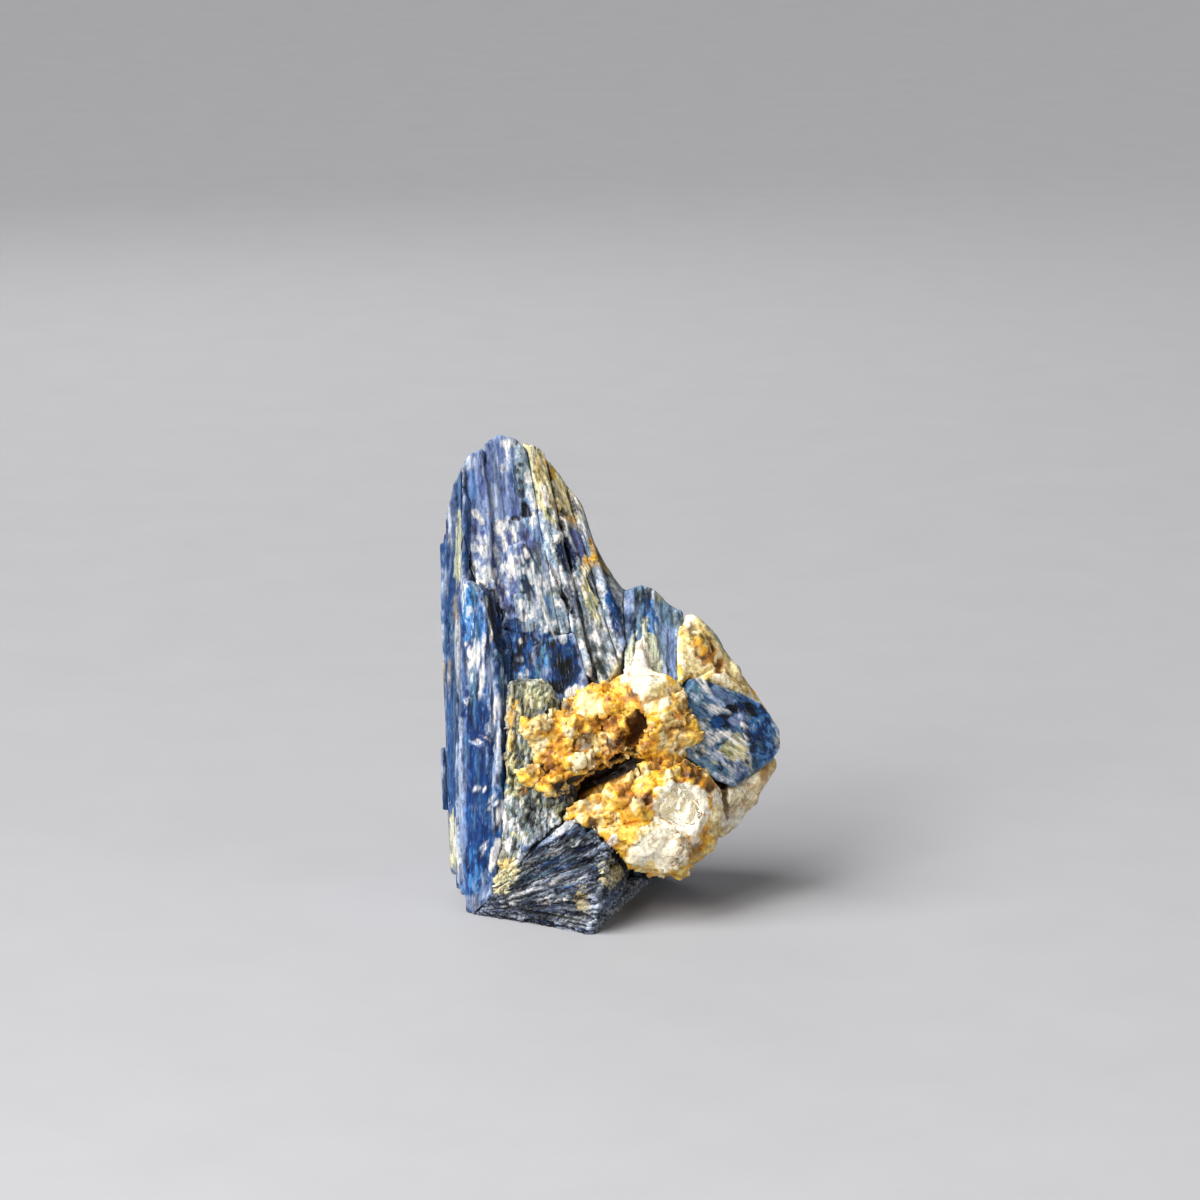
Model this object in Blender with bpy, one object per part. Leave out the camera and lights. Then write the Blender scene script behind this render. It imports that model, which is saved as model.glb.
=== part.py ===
"""Kyanite blade cluster: upright blue kyanite blades grown together around iron-stained quartz.

Lengths here are millimetres, and MM turns them into Blender's metres. +X is the viewer's right, +Y runs
away from the viewer and +Z is up. The cluster stands on z = 0, and the origin is the middle of its
bounding box at that level.

A crystal is a Blade (bevelled bar), a Prism (two matching outlines joined), a Crag (an outline with a
bulging front), a Grain (angular lump) or a Fan (thin Sheets side by side). Crystals that grew into each
other are joined in one node. A node is then cut back by the nodes that come before it in GROWTH_ORDER, so
that neighbours meet along a hairline seam and never overlap.
"""

import math
import random
from collections import namedtuple

import bmesh
import bpy
from mathutils import Vector

MM = 0.001

# Driving dimensions
HEIGHT = 65.0  # level of the broad blade's rounded tip
SEAM = 0.3  # clear gap between neighbouring nodes
SHEETS_IN_FLANK = 11
SHEETS_IN_SHOULDER = 7
SHEETS_IN_BASE = 11
SHEETS_AT_BACK = 12
PLATES_OF_MICA = 7
FISSURE = 1.7  # how far a sunken sheet stands back from its neighbours

# How far a natural crystal wanders from straight edges and square ends
EDGE_WANDER = 0.18
END_WANDER = 0.5

# The mid-section of a sheet stands in or out by up to this
SHEET_BOW = 0.3
# A crag's back outline, as a share of its rim, and its apex above its inner ring
CRAG_BACK = 0.65
CRAG_APEX = 1.1
# How often a sharp corner may stretch the growth of a neighbour's shell
SHARPEST_CORNER = 2.5

# Width along a blade, as (share of its length, share of its width)
EVEN = ((0.0, 1.0), (0.35, 1.0), (0.75, 0.97), (1.0, 0.86))
CHISEL = ((0.0, 1.0), (0.5, 1.0), (0.88, 0.9), (1.0, 0.55))
ROUNDED = ((0.0, 0.9), (0.4, 1.0), (0.85, 1.0), (0.95, 0.84), (1.0, 0.5))

Blade = namedtuple("Blade", "foot tip facing width thick profile slant seed")
Prism = namedtuple("Prism", "front back")
Crag = namedtuple("Crag", "rim outward thick bulge seed")
Grain = namedtuple("Grain", "centre radii corners seed")
Sheet = namedtuple("Sheet", "stations")
Fan = namedtuple("Fan", "sheets")


# ---------------------------------------------------------------- describing crystals


def vectors(points):
    return [Vector(point) for point in points]


def middle(points):
    return sum(points, Vector()) / len(points)


def blade(foot, tip, facing, width, thick, profile=CHISEL, slant=0.0, seed=0):
    """A bar from foot to tip whose broad face looks along facing."""
    return Blade(Vector(foot), Vector(tip), Vector(facing), width, thick, profile, slant, seed)


def slab(outline, inward, taper=0.92):
    """A flat crystal with the given outline on its broad face; inward is a vector through its thickness."""
    front = vectors(outline)
    centre = middle(front)
    back = [centre + (corner - centre) * taper + Vector(inward) for corner in front]
    return Prism(front, back)


def crag(rim, outward, thick, bulge, seed=0):
    """A lump of quartz with the given outline, bulging towards outward and thick the other way."""
    return Crag(vectors(rim), Vector(outward).normalized(), thick, bulge, seed)


def grain(centre, radii, corners=14, seed=0):
    return Grain(Vector(centre), Vector(radii), corners, seed)


def along(points, share):
    """The point at a share of the way along a chain, counting every link of the chain as equally long."""
    links = len(points) - 1
    index = min(int(share * links), links - 1)
    return points[index].lerp(points[index + 1], share * links - index)


def sheets(starts, ends, count, start_depth, end_depth, proud, ragged, seed, sunken=()):
    """Parallel or fanned sheets side by side, seen on their edges.

    The sheets run from one chain of points to another. Each reaches inward by a vector at each end,
    stands forward by up to proud, and ends up to ragged short of the second chain. The sheets listed in
    sunken stand well back, which leaves a fissure."""
    rng = random.Random(seed)
    starts, ends = vectors(starts), vectors(ends)
    start_depth, end_depth = Vector(start_depth), Vector(end_depth)
    outward = -(start_depth + end_depth).normalized()
    edges = [(index + rng.uniform(-0.3, 0.3)) / count for index in range(count + 1)]
    edges[0], edges[-1] = 0.01, 0.99
    made = []
    for index, (low, high) in enumerate(zip(edges, edges[1:])):
        forward = outward * rng.uniform(-proud, proud)
        if index in sunken:
            forward = -outward * FISSURE
        shorter = rng.uniform(0.0, ragged)
        halfway = rng.uniform(0.4, 0.6)
        stations = []
        for place, depth in ((0.0, start_depth), (halfway, (start_depth + end_depth) / 2), (1.0, end_depth)):
            station = []
            for share in (low, min(high + 0.2 / count, 1.0)):
                start, end = along(starts, share), along(ends, share)
                end = end.lerp(start, shorter / (end - start).length)
                near = start.lerp(end, place) + forward
                if 0.0 < place < 1.0:
                    near += outward * rng.uniform(-SHEET_BOW, SHEET_BOW)
                station += [near, near + depth * rng.uniform(0.94, 1.0)]
            stations.append([station[0], station[2], station[3], station[1]])
        made.append(Sheet(stations))
    return made


# ---------------------------------------------------------------- shells


def ring_of(mesh, points):
    return [mesh.verts.new(point) for point in points]


def join_rings(mesh, low, high):
    for corner in range(len(low)):
        after = (corner + 1) % len(low)
        mesh.faces.new((low[corner], low[after], high[after], high[corner]))


def blade_shell(mesh, crystal):
    """A closed bar of six-sided section, with uneven edges and ends."""
    rng = random.Random(crystal.seed)
    axis = (crystal.tip - crystal.foot).normalized()
    across = axis.cross(crystal.facing).normalized()
    out = across.cross(axis)
    length = (crystal.tip - crystal.foot).length
    section = ((-1, 0.25), (-0.78, -1), (0.78, -1), (1, -0.25), (0.78, 1), (-0.78, 1))
    rings = []
    for share, size in crystal.profile:
        drift = rng.uniform(-EDGE_WANDER, EDGE_WANDER)
        points = []
        for side, depth in section:
            side *= crystal.width / 2 * size
            distance = share * length
            if share in (0.0, 1.0):
                distance += rng.uniform(-END_WANDER, END_WANDER)
            if share == 1.0:
                distance += crystal.slant * side
            side += drift + rng.uniform(-EDGE_WANDER, EDGE_WANDER) / 2
            points.append(crystal.foot + axis * distance + across * side + out * depth * crystal.thick / 2)
        rings.append(ring_of(mesh, points))
    for low, high in zip(rings, rings[1:]):
        join_rings(mesh, low, high)
    mesh.faces.new(rings[0])
    mesh.faces.new(rings[-1])


def prism_shell(mesh, crystal):
    front, back = ring_of(mesh, crystal.front), ring_of(mesh, crystal.back)
    join_rings(mesh, front, back)
    mesh.faces.new(front)
    mesh.faces.new(back)


def sheet_shell(mesh, crystal):
    rings = [ring_of(mesh, station) for station in crystal.stations]
    for low, high in zip(rings, rings[1:]):
        join_rings(mesh, low, high)
    mesh.faces.new(rings[0])
    mesh.faces.new(rings[-1])


def hull_shell(mesh, points):
    hull = bmesh.ops.convex_hull(mesh, input=ring_of(mesh, points))
    inside = [item for item in hull["geom_interior"] if isinstance(item, bmesh.types.BMVert)]
    bmesh.ops.delete(mesh, geom=inside, context="VERTS")


def fan_shell(mesh, crystal):
    """The envelope of a fan, which is what its neighbours are cut back from."""
    stations = [station for sheet in crystal.sheets for station in sheet.stations]
    hull_shell(mesh, [point for station in stations for point in station])


def crag_shell(mesh, crystal):
    """A closed lump: a back outline, the rim, an uneven inner ring and an apex."""
    rng = random.Random(crystal.seed)
    centre = middle(crystal.rim)
    back, inner = [], []
    for corner in crystal.rim:
        back.append(centre + (corner - centre) * CRAG_BACK - crystal.outward * crystal.thick)
        height = crystal.bulge * rng.uniform(0.6, 1.0)
        inner.append(corner.lerp(centre, rng.uniform(0.3, 0.5)) + crystal.outward * height)
    rings = [ring_of(mesh, points) for points in (back, crystal.rim, inner)]
    join_rings(mesh, rings[0], rings[1])
    join_rings(mesh, rings[1], rings[2])
    mesh.faces.new(rings[0])
    apex = mesh.verts.new(centre + crystal.outward * crystal.bulge * CRAG_APEX)
    for corner in range(len(inner)):
        mesh.faces.new((rings[2][corner], rings[2][(corner + 1) % len(inner)], apex))


def grain_shell(mesh, crystal):
    """The convex hull of points spread evenly over an ellipsoid."""
    rng = random.Random(crystal.seed)
    golden_turn = math.pi * (3 - math.sqrt(5))
    points = []
    for index in range(crystal.corners):
        level = 1 - 2 * (index + 0.5) / crystal.corners + rng.uniform(-0.1, 0.1)
        level = max(-1.0, min(1.0, level))
        turn = golden_turn * index + rng.uniform(-0.35, 0.35)
        ring = math.sqrt(1 - level * level)
        direction = Vector((ring * math.cos(turn), ring * math.sin(turn), level))
        points.append(crystal.centre + direction * crystal.radii * rng.uniform(0.86, 1.06))
    hull_shell(mesh, points)


SHELLS = {
    Blade: blade_shell,
    Prism: prism_shell,
    Crag: crag_shell,
    Grain: grain_shell,
    Sheet: sheet_shell,
    Fan: fan_shell,
}


def shell_object(name, crystal, grow=0.0):
    """One crystal as a mesh object, larger by grow on every side, that builds leave out."""
    mesh = bmesh.new()
    SHELLS[type(crystal)](mesh, crystal)
    bmesh.ops.triangulate(mesh, faces=mesh.faces)
    bmesh.ops.recalc_face_normals(mesh, faces=mesh.faces)
    mesh.normal_update()
    for vertex in mesh.verts:
        vertex.co += vertex.normal * min(vertex.calc_shell_factor(), SHARPEST_CORNER) * grow
    bmesh.ops.scale(mesh, vec=(MM, MM, MM), verts=mesh.verts)
    return mesh_object(name, mesh, hidden=True)


def mesh_object(name, mesh, hidden=False):
    data = bpy.data.meshes.new(name)
    mesh.to_mesh(data)
    mesh.free()
    made = bpy.data.objects.new(name, data)
    bpy.context.scene.collection.objects.link(made)
    made.hide_render = hidden
    made.display_type = "WIRE" if hidden else "TEXTURED"
    return made


# ---------------------------------------------------------------- joining and cutting


def boolean(target, operation, others):
    """Joins others to target, or cuts them from it, and then removes them."""
    group = bpy.data.collections.new(operation)
    for other in others:
        group.objects.link(other)
    modifier = target.modifiers.new(operation, "BOOLEAN")
    modifier.operation = operation
    modifier.operand_type = "COLLECTION"
    modifier.collection = group
    modifier.solver = "EXACT"
    graph = bpy.context.evaluated_depsgraph_get()
    made = bpy.data.meshes.new_from_object(target.evaluated_get(graph))
    target.modifiers.clear()
    target.data = made
    for other in others:
        bpy.data.objects.remove(other)
    bpy.data.collections.remove(group)


def islands(mesh):
    """The connected parts of a bmesh, as lists of vertices."""
    left = set(mesh.verts)
    found = []
    while left:
        reached = [left.pop()]
        for vertex in reached:
            for edge in vertex.link_edges:
                other = edge.other_vert(vertex)
                if other in left:
                    left.remove(other)
                    reached.append(other)
        found.append(reached)
    return found


def keep_largest(target):
    """Drops the crumbs that cutting has parted from the main body."""
    mesh = bmesh.new()
    mesh.from_mesh(target.data)
    parts = sorted(islands(mesh), key=len)
    for crumb in parts[:-1]:
        bmesh.ops.delete(mesh, geom=crumb, context="VERTS")
    mesh.to_mesh(target.data)
    mesh.free()


def floor_block():
    """Everything below the level that the cluster stands on."""
    mesh = bmesh.new()
    bmesh.ops.create_cube(mesh, size=120 * MM)
    bmesh.ops.translate(mesh, vec=(0, 0, -60 * MM), verts=mesh.verts)
    return mesh_object("floor_block", mesh, hidden=True)


def grow_node(name, crystals, hollows, before):
    """Joins crystals into one named solid, opens its hollows, and cuts it back from the crystals before."""
    parts = []
    for crystal in crystals:
        parts += crystal.sheets if isinstance(crystal, Fan) else [crystal]
    shells = [shell_object(f"{name}_shell", part) for part in parts]
    node = shells[0]
    node.name = name
    if shells[1:]:
        boolean(node, "UNION", shells[1:])
    cutters = [floor_block()]
    cutters += [shell_object("hollow", hollow) for hollow in hollows]
    cutters += [shell_object("neighbour", crystal, grow=SEAM) for crystal in before]
    boolean(node, "DIFFERENCE", cutters)
    keep_largest(node)
    node.data.name = name
    node.hide_render = False
    node.display_type = "TEXTURED"
    return node


# ---------------------------------------------------------------- the crystals of each node


def broad_blade():
    """The wide blade at the top front: a main strip with ledges, a narrow strip beside it, a broken end."""
    through = (0.3, 3.4, -0.6)
    return [
        slab(
            [(-9.4, -5.0, 31.8), (-7.4, -3.0, 38.4), (-8.9, -0.9, 47.0), (-10.7, 1.6, 56.3),
             (-11.8, 3.1, 62.6), (-13.2, 3.6, 64.2), (-15.5, 3.5, HEIGHT - 0.4), (-17.5, 2.9, 63.7),
             (-17.3, 1.0, 56.4), (-17.1, -1.1, 48.4), (-16.7, -3.5, 38.0), (-15.2, -5.1, 32.0)],
            through,
        ),
        slab(
            [(-11.3, 1.6, 54.6), (-11.9, 2.7, 62.8), (-13.2, 3.2, 64.4), (-15.6, 3.0, HEIGHT),
             (-17.3, 2.3, 64.0), (-17.2, 0.4, 56.2), (-17.1, 0.1, 53.4), (-14.6, 0.0, 52.2)],
            (0.1, 2.0, -0.4),
        ),
        slab(
            [(-10.2, -3.3, 38.2), (-9.8, -1.6, 46.0), (-12.0, -0.6, 50.8), (-14.2, -0.9, 50.2),
             (-15.2, -3.6, 39.4)],
            (0.1, 2.0, -0.3),
        ),
        slab(
            [(-20.4, 0.6, 61.3), (-19.5, 1.1, 62.7), (-17.9, 1.5, 63.4), (-17.0, -0.3, 56.5),
             (-16.7, -2.3, 48.5), (-15.9, -4.1, 41.2), (-16.5, -4.0, 41.0), (-18.0, -3.5, 44.2),
             (-20.4, -1.4, 50.0)],
            (0.6, 3.4, -0.6),
        ),
        slab(
            [(-9.0, -3.8, 37.8), (-5.4, -3.5, 38.5), (-4.2, -4.1, 34.6), (-3.1, -4.7, 30.8),
             (-4.4, -5.2, 29.0), (-8.2, -5.5, 29.2), (-9.1, -5.2, 32.4)],
            (-0.2, 3.6, -0.6),
        ),
    ]


def left_blades():
    """The upright blades of the left flank; the front one shows the long cobalt face."""
    return [
        slab(
            [(-20.4, -4.2, 46.4), (-18.9, -5.3, 46.0), (-17.4, -6.6, 42.6), (-16.7, -7.6, 30.0),
             (-16.8, -8.4, 14.0), (-17.4, -9.4, 2.0), (-19.1, -8.8, 0.0), (-20.1, -7.6, 0.2),
             (-20.7, -6.5, 5.8), (-20.8, -5.9, 21.3), (-20.7, -4.9, 37.0)],
            (2.6, 3.3, 0.0),
        ),
        slab(
            [(-18.6, -5.3, 45.4), (-17.9, -5.6, 45.0), (-15.7, -7.0, 37.0), (-15.3, -7.7, 30.0),
             (-15.5, -8.4, 21.0), (-15.2, -8.9, 15.0), (-15.8, -9.2, 8.0), (-16.9, -9.4, 2.0),
             (-18.4, -8.2, 2.0), (-18.2, -6.6, 30.0)],
            (2.4, 3.6, 0.0),
        ),
        slab(
            [(-20.4, -1.4, 57.0), (-20.8, 1.0, 61.2), (-21.8, 1.4, 58.3), (-22.6, 1.6, 54.6),
             (-23.3, 1.7, 51.0), (-23.5, 1.8, 46.0), (-23.5, 1.6, 38.0), (-23.2, 1.2, 28.0),
             (-22.9, 0.8, 14.0), (-22.5, 0.0, 9.5), (-21.8, -2.0, 4.5), (-20.6, -4.4, 1.4),
             (-20.3, -5.9, 8.0), (-20.4, -5.4, 24.0), (-20.3, -4.0, 44.0)],
            (3.0, 2.4, 0.0),
        ),
        blade((-20.6, 2.6, 3.0), (-21.8, 3.2, 49.5), (-1.0, -0.1, 0.0), 4.2, 3.6, slant=0.3, seed=24),
        blade((-17.8, -3.0, -1.0), (-18.6, -1.0, 30.0), (-1.0, -0.4, 0.0), 9.0, 3.0, EVEN, seed=28),
        blade((-19.7, 6.2, -1.0), (-20.8, 5.6, 51.6), (-1.0, 0.1, 0.0), 5.6, 4.0, slant=-0.2, seed=25),
        blade((-20.2, 9.6, 4.0), (-20.4, 8.4, 44.0), (-1.0, 0.4, 0.0), 4.6, 3.2, slant=-0.5, seed=26),
        blade((-18.6, 12.6, -1.0), (-18.4, 10.8, 33.5), (-0.8, 0.7, 0.0), 4.8, 3.0, EVEN, -0.6, seed=27),
        slab(
            [(-23.9, 2.2, 21.0), (-23.5, 3.6, 20.0), (-23.3, 3.8, 12.5), (-23.5, 2.0, 12.0)],
            (3.0, 0.4, 0.0),
        ),
    ]


def flank_blades():
    """Thin sheets, seen on their edges, that fan down the right of the broad blade, and a blade beyond."""
    crest = [(-12.3, 3.2, 63.8), (-10.5, 3.6, 63.1), (-8.9, 4.2, 61.4), (-6.9, 5.0, 58.3),
             (-4.5, 5.5, 54.8)]
    feet = [(-8.4, -3.2, 37.0), (-4.6, -3.9, 34.0), (-1.4, -4.5, 31.2), (0.8, -2.8, 33.6),
            (1.6, -1.4, 37.4)]
    fan = sheets(crest, feet, SHEETS_IN_FLANK, (0.4, 6.0, -2.6), (0.6, 9.0, -4.6), proud=0.65,
                 ragged=0.0, seed=33, sunken=(4, 8))
    edge_blade = [(-4.9, 5.0, 54.4), (-3.0, 5.2, 49.9), (-1.3, 5.0, 46.8), (1.3, 4.2, 43.1),
                  (2.0, 2.0, 41.0), (1.9, -1.8, 36.4), (0.6, -1.8, 36.6)]
    return [Fan(fan), slab(edge_blade, (0.3, 6.5, -2.6))]


def back_blades():
    """The crystals at the back, which carry the others: fanned sheets, broad blades and broken stubs."""
    crest = [(-19.0, 7.6, 55.6), (-14.2, 7.4, 61.4), (-9.0, 7.8, 58.4), (-5.0, 8.2, 51.4),
             (-1.0, 8.2, 43.6), (3.6, 8.0, 41.2), (8.2, 7.6, 38.4), (12.0, 7.4, 34.2),
             (16.2, 7.0, 28.2), (19.6, 6.2, 23.6)]
    feet = [(-19.6, 12.4, -1.6), (-15.0, 14.6, -1.6), (-9.4, 15.4, -1.6), (-3.4, 15.0, -1.6),
            (1.8, 14.0, -1.6), (6.0, 11.6, 0.6), (9.4, 10.2, 3.4), (12.6, 9.6, 6.2),
            (15.6, 8.8, 8.6), (18.2, 7.6, 11.8)]
    made = sheets(crest, feet, SHEETS_AT_BACK, (0.0, -5.0, -1.2), (0.0, -9.0, 1.0), proud=0.9,
                  ragged=0.0, seed=40, sunken=(3, 8))
    made += [
        slab(
            [(-18.6, 3.4, 60.2), (-16.4, 3.4, 62.6), (-12.0, 3.2, 63.2), (-8.6, 3.4, 61.6),
             (-3.8, 4.6, 50.6), (2.6, 3.6, 40.8), (4.0, 2.4, 30.0), (-6.0, 2.6, 18.0),
             (-19.4, 2.6, 18.0)],
            (0.2, 5.2, -2.0),
        ),
        blade((-16.2, 15.4, -1.5), (-12.4, 9.6, 47.5), (-0.30, 1.0, 0.1), 7.6, 2.6, ROUNDED, 0.3, seed=41),
        blade((-4.0, 17.0, -1.5), (-9.4, 11.4, 39.0), (0.12, 1.0, 0.15), 6.2, 3.4, seed=42, slant=-0.5),
        blade((0.8, 15.2, -1.5), (2.6, 10.4, 31.6), (0.30, 1.0, 0.2), 4.6, 3.0, seed=43, slant=0.4),
        blade((-10.6, 18.0, -1.5), (-11.6, 15.4, 22.4), (-0.2, 1.0, 0.1), 5.2, 3.0, EVEN, 0.7, seed=44),
        blade((14.0, 8.4, 10.4), (7.6, 10.6, 31.0), (0.35, 1.0, 0.1), 3.8, 2.4, EVEN, -0.4, seed=45),
    ]
    return made


def shoulder_blades():
    """The short blue spray on the right shoulder."""
    crest = [(1.6, 3.4, 42.8), (3.8, 3.2, 43.9), (6.0, 3.6, 43.0), (7.8, 4.0, 40.9), (9.6, 4.0, 39.8)]
    feet = [(1.8, -4.6, 31.0), (3.8, -5.4, 28.0), (6.5, -5.4, 28.0), (9.2, -4.4, 29.0)]
    spray = sheets(crest, feet, SHEETS_IN_SHOULDER, (0.2, 4.0, -1.6), (0.2, 7.0, -2.0), proud=0.5,
                   ragged=0.0, seed=51)
    return [Fan(spray)]


def right_blade():
    """The thick blade that points right, with a blunt five-sided end."""
    return [
        slab(
            [(11.6, -4.4, 32.4), (18.3, -0.9, 29.1), (20.8, 0.6, 27.4), (23.1, 3.0, 23.2),
             (23.4, 3.2, 21.0), (22.2, 1.7, 19.4), (16.9, -4.0, 17.0), (14.4, -5.8, 18.6),
             (10.4, -6.6, 22.0), (9.6, -5.8, 30.0)],
            (-2.6, 3.8, -0.6),
        ),
        slab(
            [(17.0, -2.4, 28.9), (19.2, -0.8, 28.2), (20.6, 0.2, 26.6), (22.6, 2.0, 22.6),
             (22.0, 1.4, 20.6), (19.4, -1.6, 21.4), (18.2, -2.6, 24.6)],
            (-1.4, 2.0, -0.3),
        ),
    ]


def base_blades():
    """Thin sheets that fan to the right from the lower left corner, and the flat that they stand on."""
    starts = [(-16.2, -9.6, 5.4), (-17.0, -9.6, 3.2), (-17.8, -9.4, 1.4), (-18.8, -8.7, 0.0)]
    ends = [(-5.2, -13.2, 14.8), (-2.4, -14.0, 13.0), (-0.3, -15.0, 11.2), (-1.0, -16.8, 9.0),
            (-1.5, -18.3, 6.6), (-1.8, -18.7, 3.4), (-2.3, -18.8, -0.6)]
    foot = [(-18.6, -8.3, 0.8), (-2.7, -18.4, 0.9), (5.4, 8.3, 1.6), (2.0, 13.0, 1.4), (-12.0, 14.0, 1.4),
            (-18.9, 6.0, 1.2)]
    fan = sheets(starts, ends, SHEETS_IN_BASE, (0.6, 11.0, 0.0), (4.3, 15.0, 0.6), proud=0.5,
                 ragged=1.2, seed=71)
    return [Fan(fan), slab(foot, (0.0, 0.0, -2.0), taper=0.98)]


def rubble(surface, count, size, seed, spread=0.9):
    """Angular grains scattered over the bulging front of a crag."""
    rng = random.Random(seed)
    centre = middle(surface.rim)
    made = []
    for index in range(count):
        corner = (index * 5 + rng.randrange(2)) % len(surface.rim)
        edge_point = surface.rim[corner - 1].lerp(surface.rim[corner], rng.random())
        share = math.sqrt(rng.uniform(0.05, 1.0)) * spread
        place = centre.lerp(edge_point, share) + surface.outward * surface.bulge * (1 - share ** 3) * 0.8
        radius = size * rng.uniform(0.7, 1.5)
        radii = (radius, radius * rng.uniform(0.6, 0.9), radius * rng.uniform(0.7, 1.2))
        made.append(grain(place, radii, corners=10, seed=seed * 100 + index))
    return made


def crusted(rim, outward, thick, bulge, count, size, seed, spread=0.9):
    surface = crag(rim, outward, thick, bulge, seed)
    return [surface, *rubble(surface, count, size, seed, spread)]


def quartz_matrix():
    """The iron-stained quartz between the blades, with its two cream ridges on the right."""
    made = [grain((1.5, -1.0, 20.0), (14.5, 7.0, 13.5), corners=18, seed=80)]
    left_lobe = [(-12.4, -8.0, 27.6), (-9.0, -8.0, 29.4), (-5.0, -8.0, 27.6), (-1.2, -8.2, 25.4),
                 (0.4, -9.0, 23.2), (-3.2, -9.6, 20.4), (-7.6, -9.8, 17.2), (-11.8, -9.2, 17.4),
                 (-13.0, -8.6, 22.6)]
    made += crusted(left_lobe, (-0.2, -1.0, 0.1), 6.0, 1.8, 6, 2.1, seed=81, spread=0.8)
    top_lobe = [(-2.2, -5.4, 29.6), (0.6, -4.6, 33.0), (3.8, -4.6, 33.6), (8.0, -4.6, 33.0),
                (10.8, -5.0, 30.0), (11.4, -6.6, 24.0), (8.6, -8.0, 21.2), (4.0, -8.4, 21.6),
                (-0.8, -7.6, 24.8)]
    made += crusted(top_lobe, (0.0, -1.0, 0.25), 6.0, 2.6, 9, 1.9, seed=82)
    low_lobe = [(-8.6, -10.8, 14.4), (-5.4, -11.4, 16.2), (-1.6, -11.6, 18.0), (3.8, -10.0, 21.0),
                (8.6, -8.6, 21.8), (12.4, -7.2, 21.0), (15.2, -6.4, 16.6), (14.4, -7.2, 8.8),
                (10.4, -9.6, 6.6), (8.0, -10.4, 5.8), (5.8, -11.0, 6.2), (2.4, -12.8, 8.0),
                (-0.2, -13.8, 11.4), (-5.0, -11.8, 13.6)]
    made += crusted(low_lobe, (0.15, -1.0, 0.2), 9.0, 2.8, 11, 2.2, seed=83, spread=0.8)
    milky = [(0.6, -12.6, 11.6), (3.0, -12.6, 14.0), (7.6, -12.0, 14.2), (10.4, -11.4, 11.6),
             (9.8, -11.2, 8.0), (5.6, -11.8, 7.4), (1.6, -12.8, 8.6)]
    made += crusted(milky, (0.0, -1.0, 0.15), 5.0, 1.9, 3, 1.8, seed=84)
    wedge = [(3.8, -2.2, 37.6), (5.4, -3.8, 33.4), (6.4, -5.4, 30.2), (3.6, -6.0, 29.6), (0.4, -5.2, 30.6),
             (2.2, -3.8, 33.6)]
    made.append(crag(wedge, (0.0, -1.0, 0.3), 6.0, 0.9, seed=85))
    grey_patch = [(-8.6, -5.4, 29.6), (-3.6, -5.0, 31.4), (-0.8, -5.2, 32.4), (0.2, -6.2, 28.6),
                  (-2.2, -7.6, 25.2), (-7.0, -7.4, 26.4)]
    made.append(crag(grey_patch, (-0.1, -1.0, 0.3), 6.0, 0.8, seed=89))
    upper_ridge = [(9.2, 3.4, 39.8), (11.2, 3.4, 40.0), (13.9, 3.8, 37.6), (17.1, 4.4, 32.2),
                   (20.2, 4.6, 27.8), (22.3, 4.6, 24.8), (20.4, 1.6, 26.6), (18.6, -0.4, 28.6),
                   (12.4, -3.4, 32.0), (9.0, -5.2, 29.6), (8.8, -1.0, 36.8)]
    made += crusted(upper_ridge, (0.25, -0.7, 0.5), 6.0, 0.6, 4, 1.4, seed=86, spread=0.6)
    lower_ridge = [(22.6, 3.0, 19.5), (23.3, 3.6, 18.2), (20.2, 1.4, 14.0), (17.3, -1.6, 10.6),
                   (15.2, -3.1, 9.1), (13.0, -5.6, 10.8), (13.6, -5.8, 16.0), (16.9, -3.8, 17.2)]
    made += crusted(lower_ridge, (0.3, -1.0, 0.1), 5.0, 0.8, 4, 1.2, seed=87, spread=0.55)
    made.append(grain((14.0, 2.4, 15.0), (5.6, 4.4, 6.0), corners=16, seed=90))
    back_patch = [(4.6, 13.0, 5.6), (9.8, 11.4, 7.0), (13.8, 10.0, 13.0), (12.6, 9.6, 20.0),
                  (7.4, 10.4, 25.4), (3.8, 11.6, 19.0), (2.6, 13.0, 11.0)]
    made += crusted(back_patch, (0.35, 1.0, 0.0), 9.0, 1.8, 7, 2.0, seed=88)
    return made


def quartz_hollows():
    """The stained pit in the upper quartz, and the long dark slot under it."""
    return [
        grain((2.8, -9.8, 25.2), (2.4, 4.6, 2.6), corners=14, seed=101),
        grain((4.4, -9.2, 27.4), (1.3, 3.0, 2.0), corners=10, seed=102),
        Prism(
            vectors([(-8.4, -15.0, 14.4), (-3.0, -15.0, 17.4), (3.4, -15.0, 20.8), (4.2, -15.0, 22.2),
                     (-1.6, -15.0, 19.6), (-7.6, -15.0, 16.6)]),
            vectors([(-6.6, -5.0, 16.2), (-2.8, -5.0, 18.5), (2.4, -6.0, 21.6), (2.6, -6.0, 22.5),
                     (-2.2, -5.0, 20.3), (-6.4, -5.0, 17.5)]),
        ),
    ]


def clear_quartz():
    return [grain((9.3, -11.2, 15.9), (3.2, 3.0, 2.8), corners=22, seed=91)]


def mica_plates():
    """Upright plates of mica between the left blades and the quartz."""
    crest = [(-15.2, -7.2, 31.4), (-12.6, -7.0, 32.6), (-9.2, -6.8, 32.2), (-7.6, -6.9, 29.4)]
    feet = [(-15.8, -10.0, 4.2), (-13.2, -10.8, 7.6), (-9.6, -11.6, 11.4), (-6.0, -11.8, 14.6)]
    plates = sheets(crest, feet, PLATES_OF_MICA, (0.6, 6.0, 0.0), (1.0, 6.5, 0.0), proud=0.6,
                    ragged=2.0, seed=95)
    return [Fan(plates)]


# ---------------------------------------------------------------- the cluster

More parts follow.
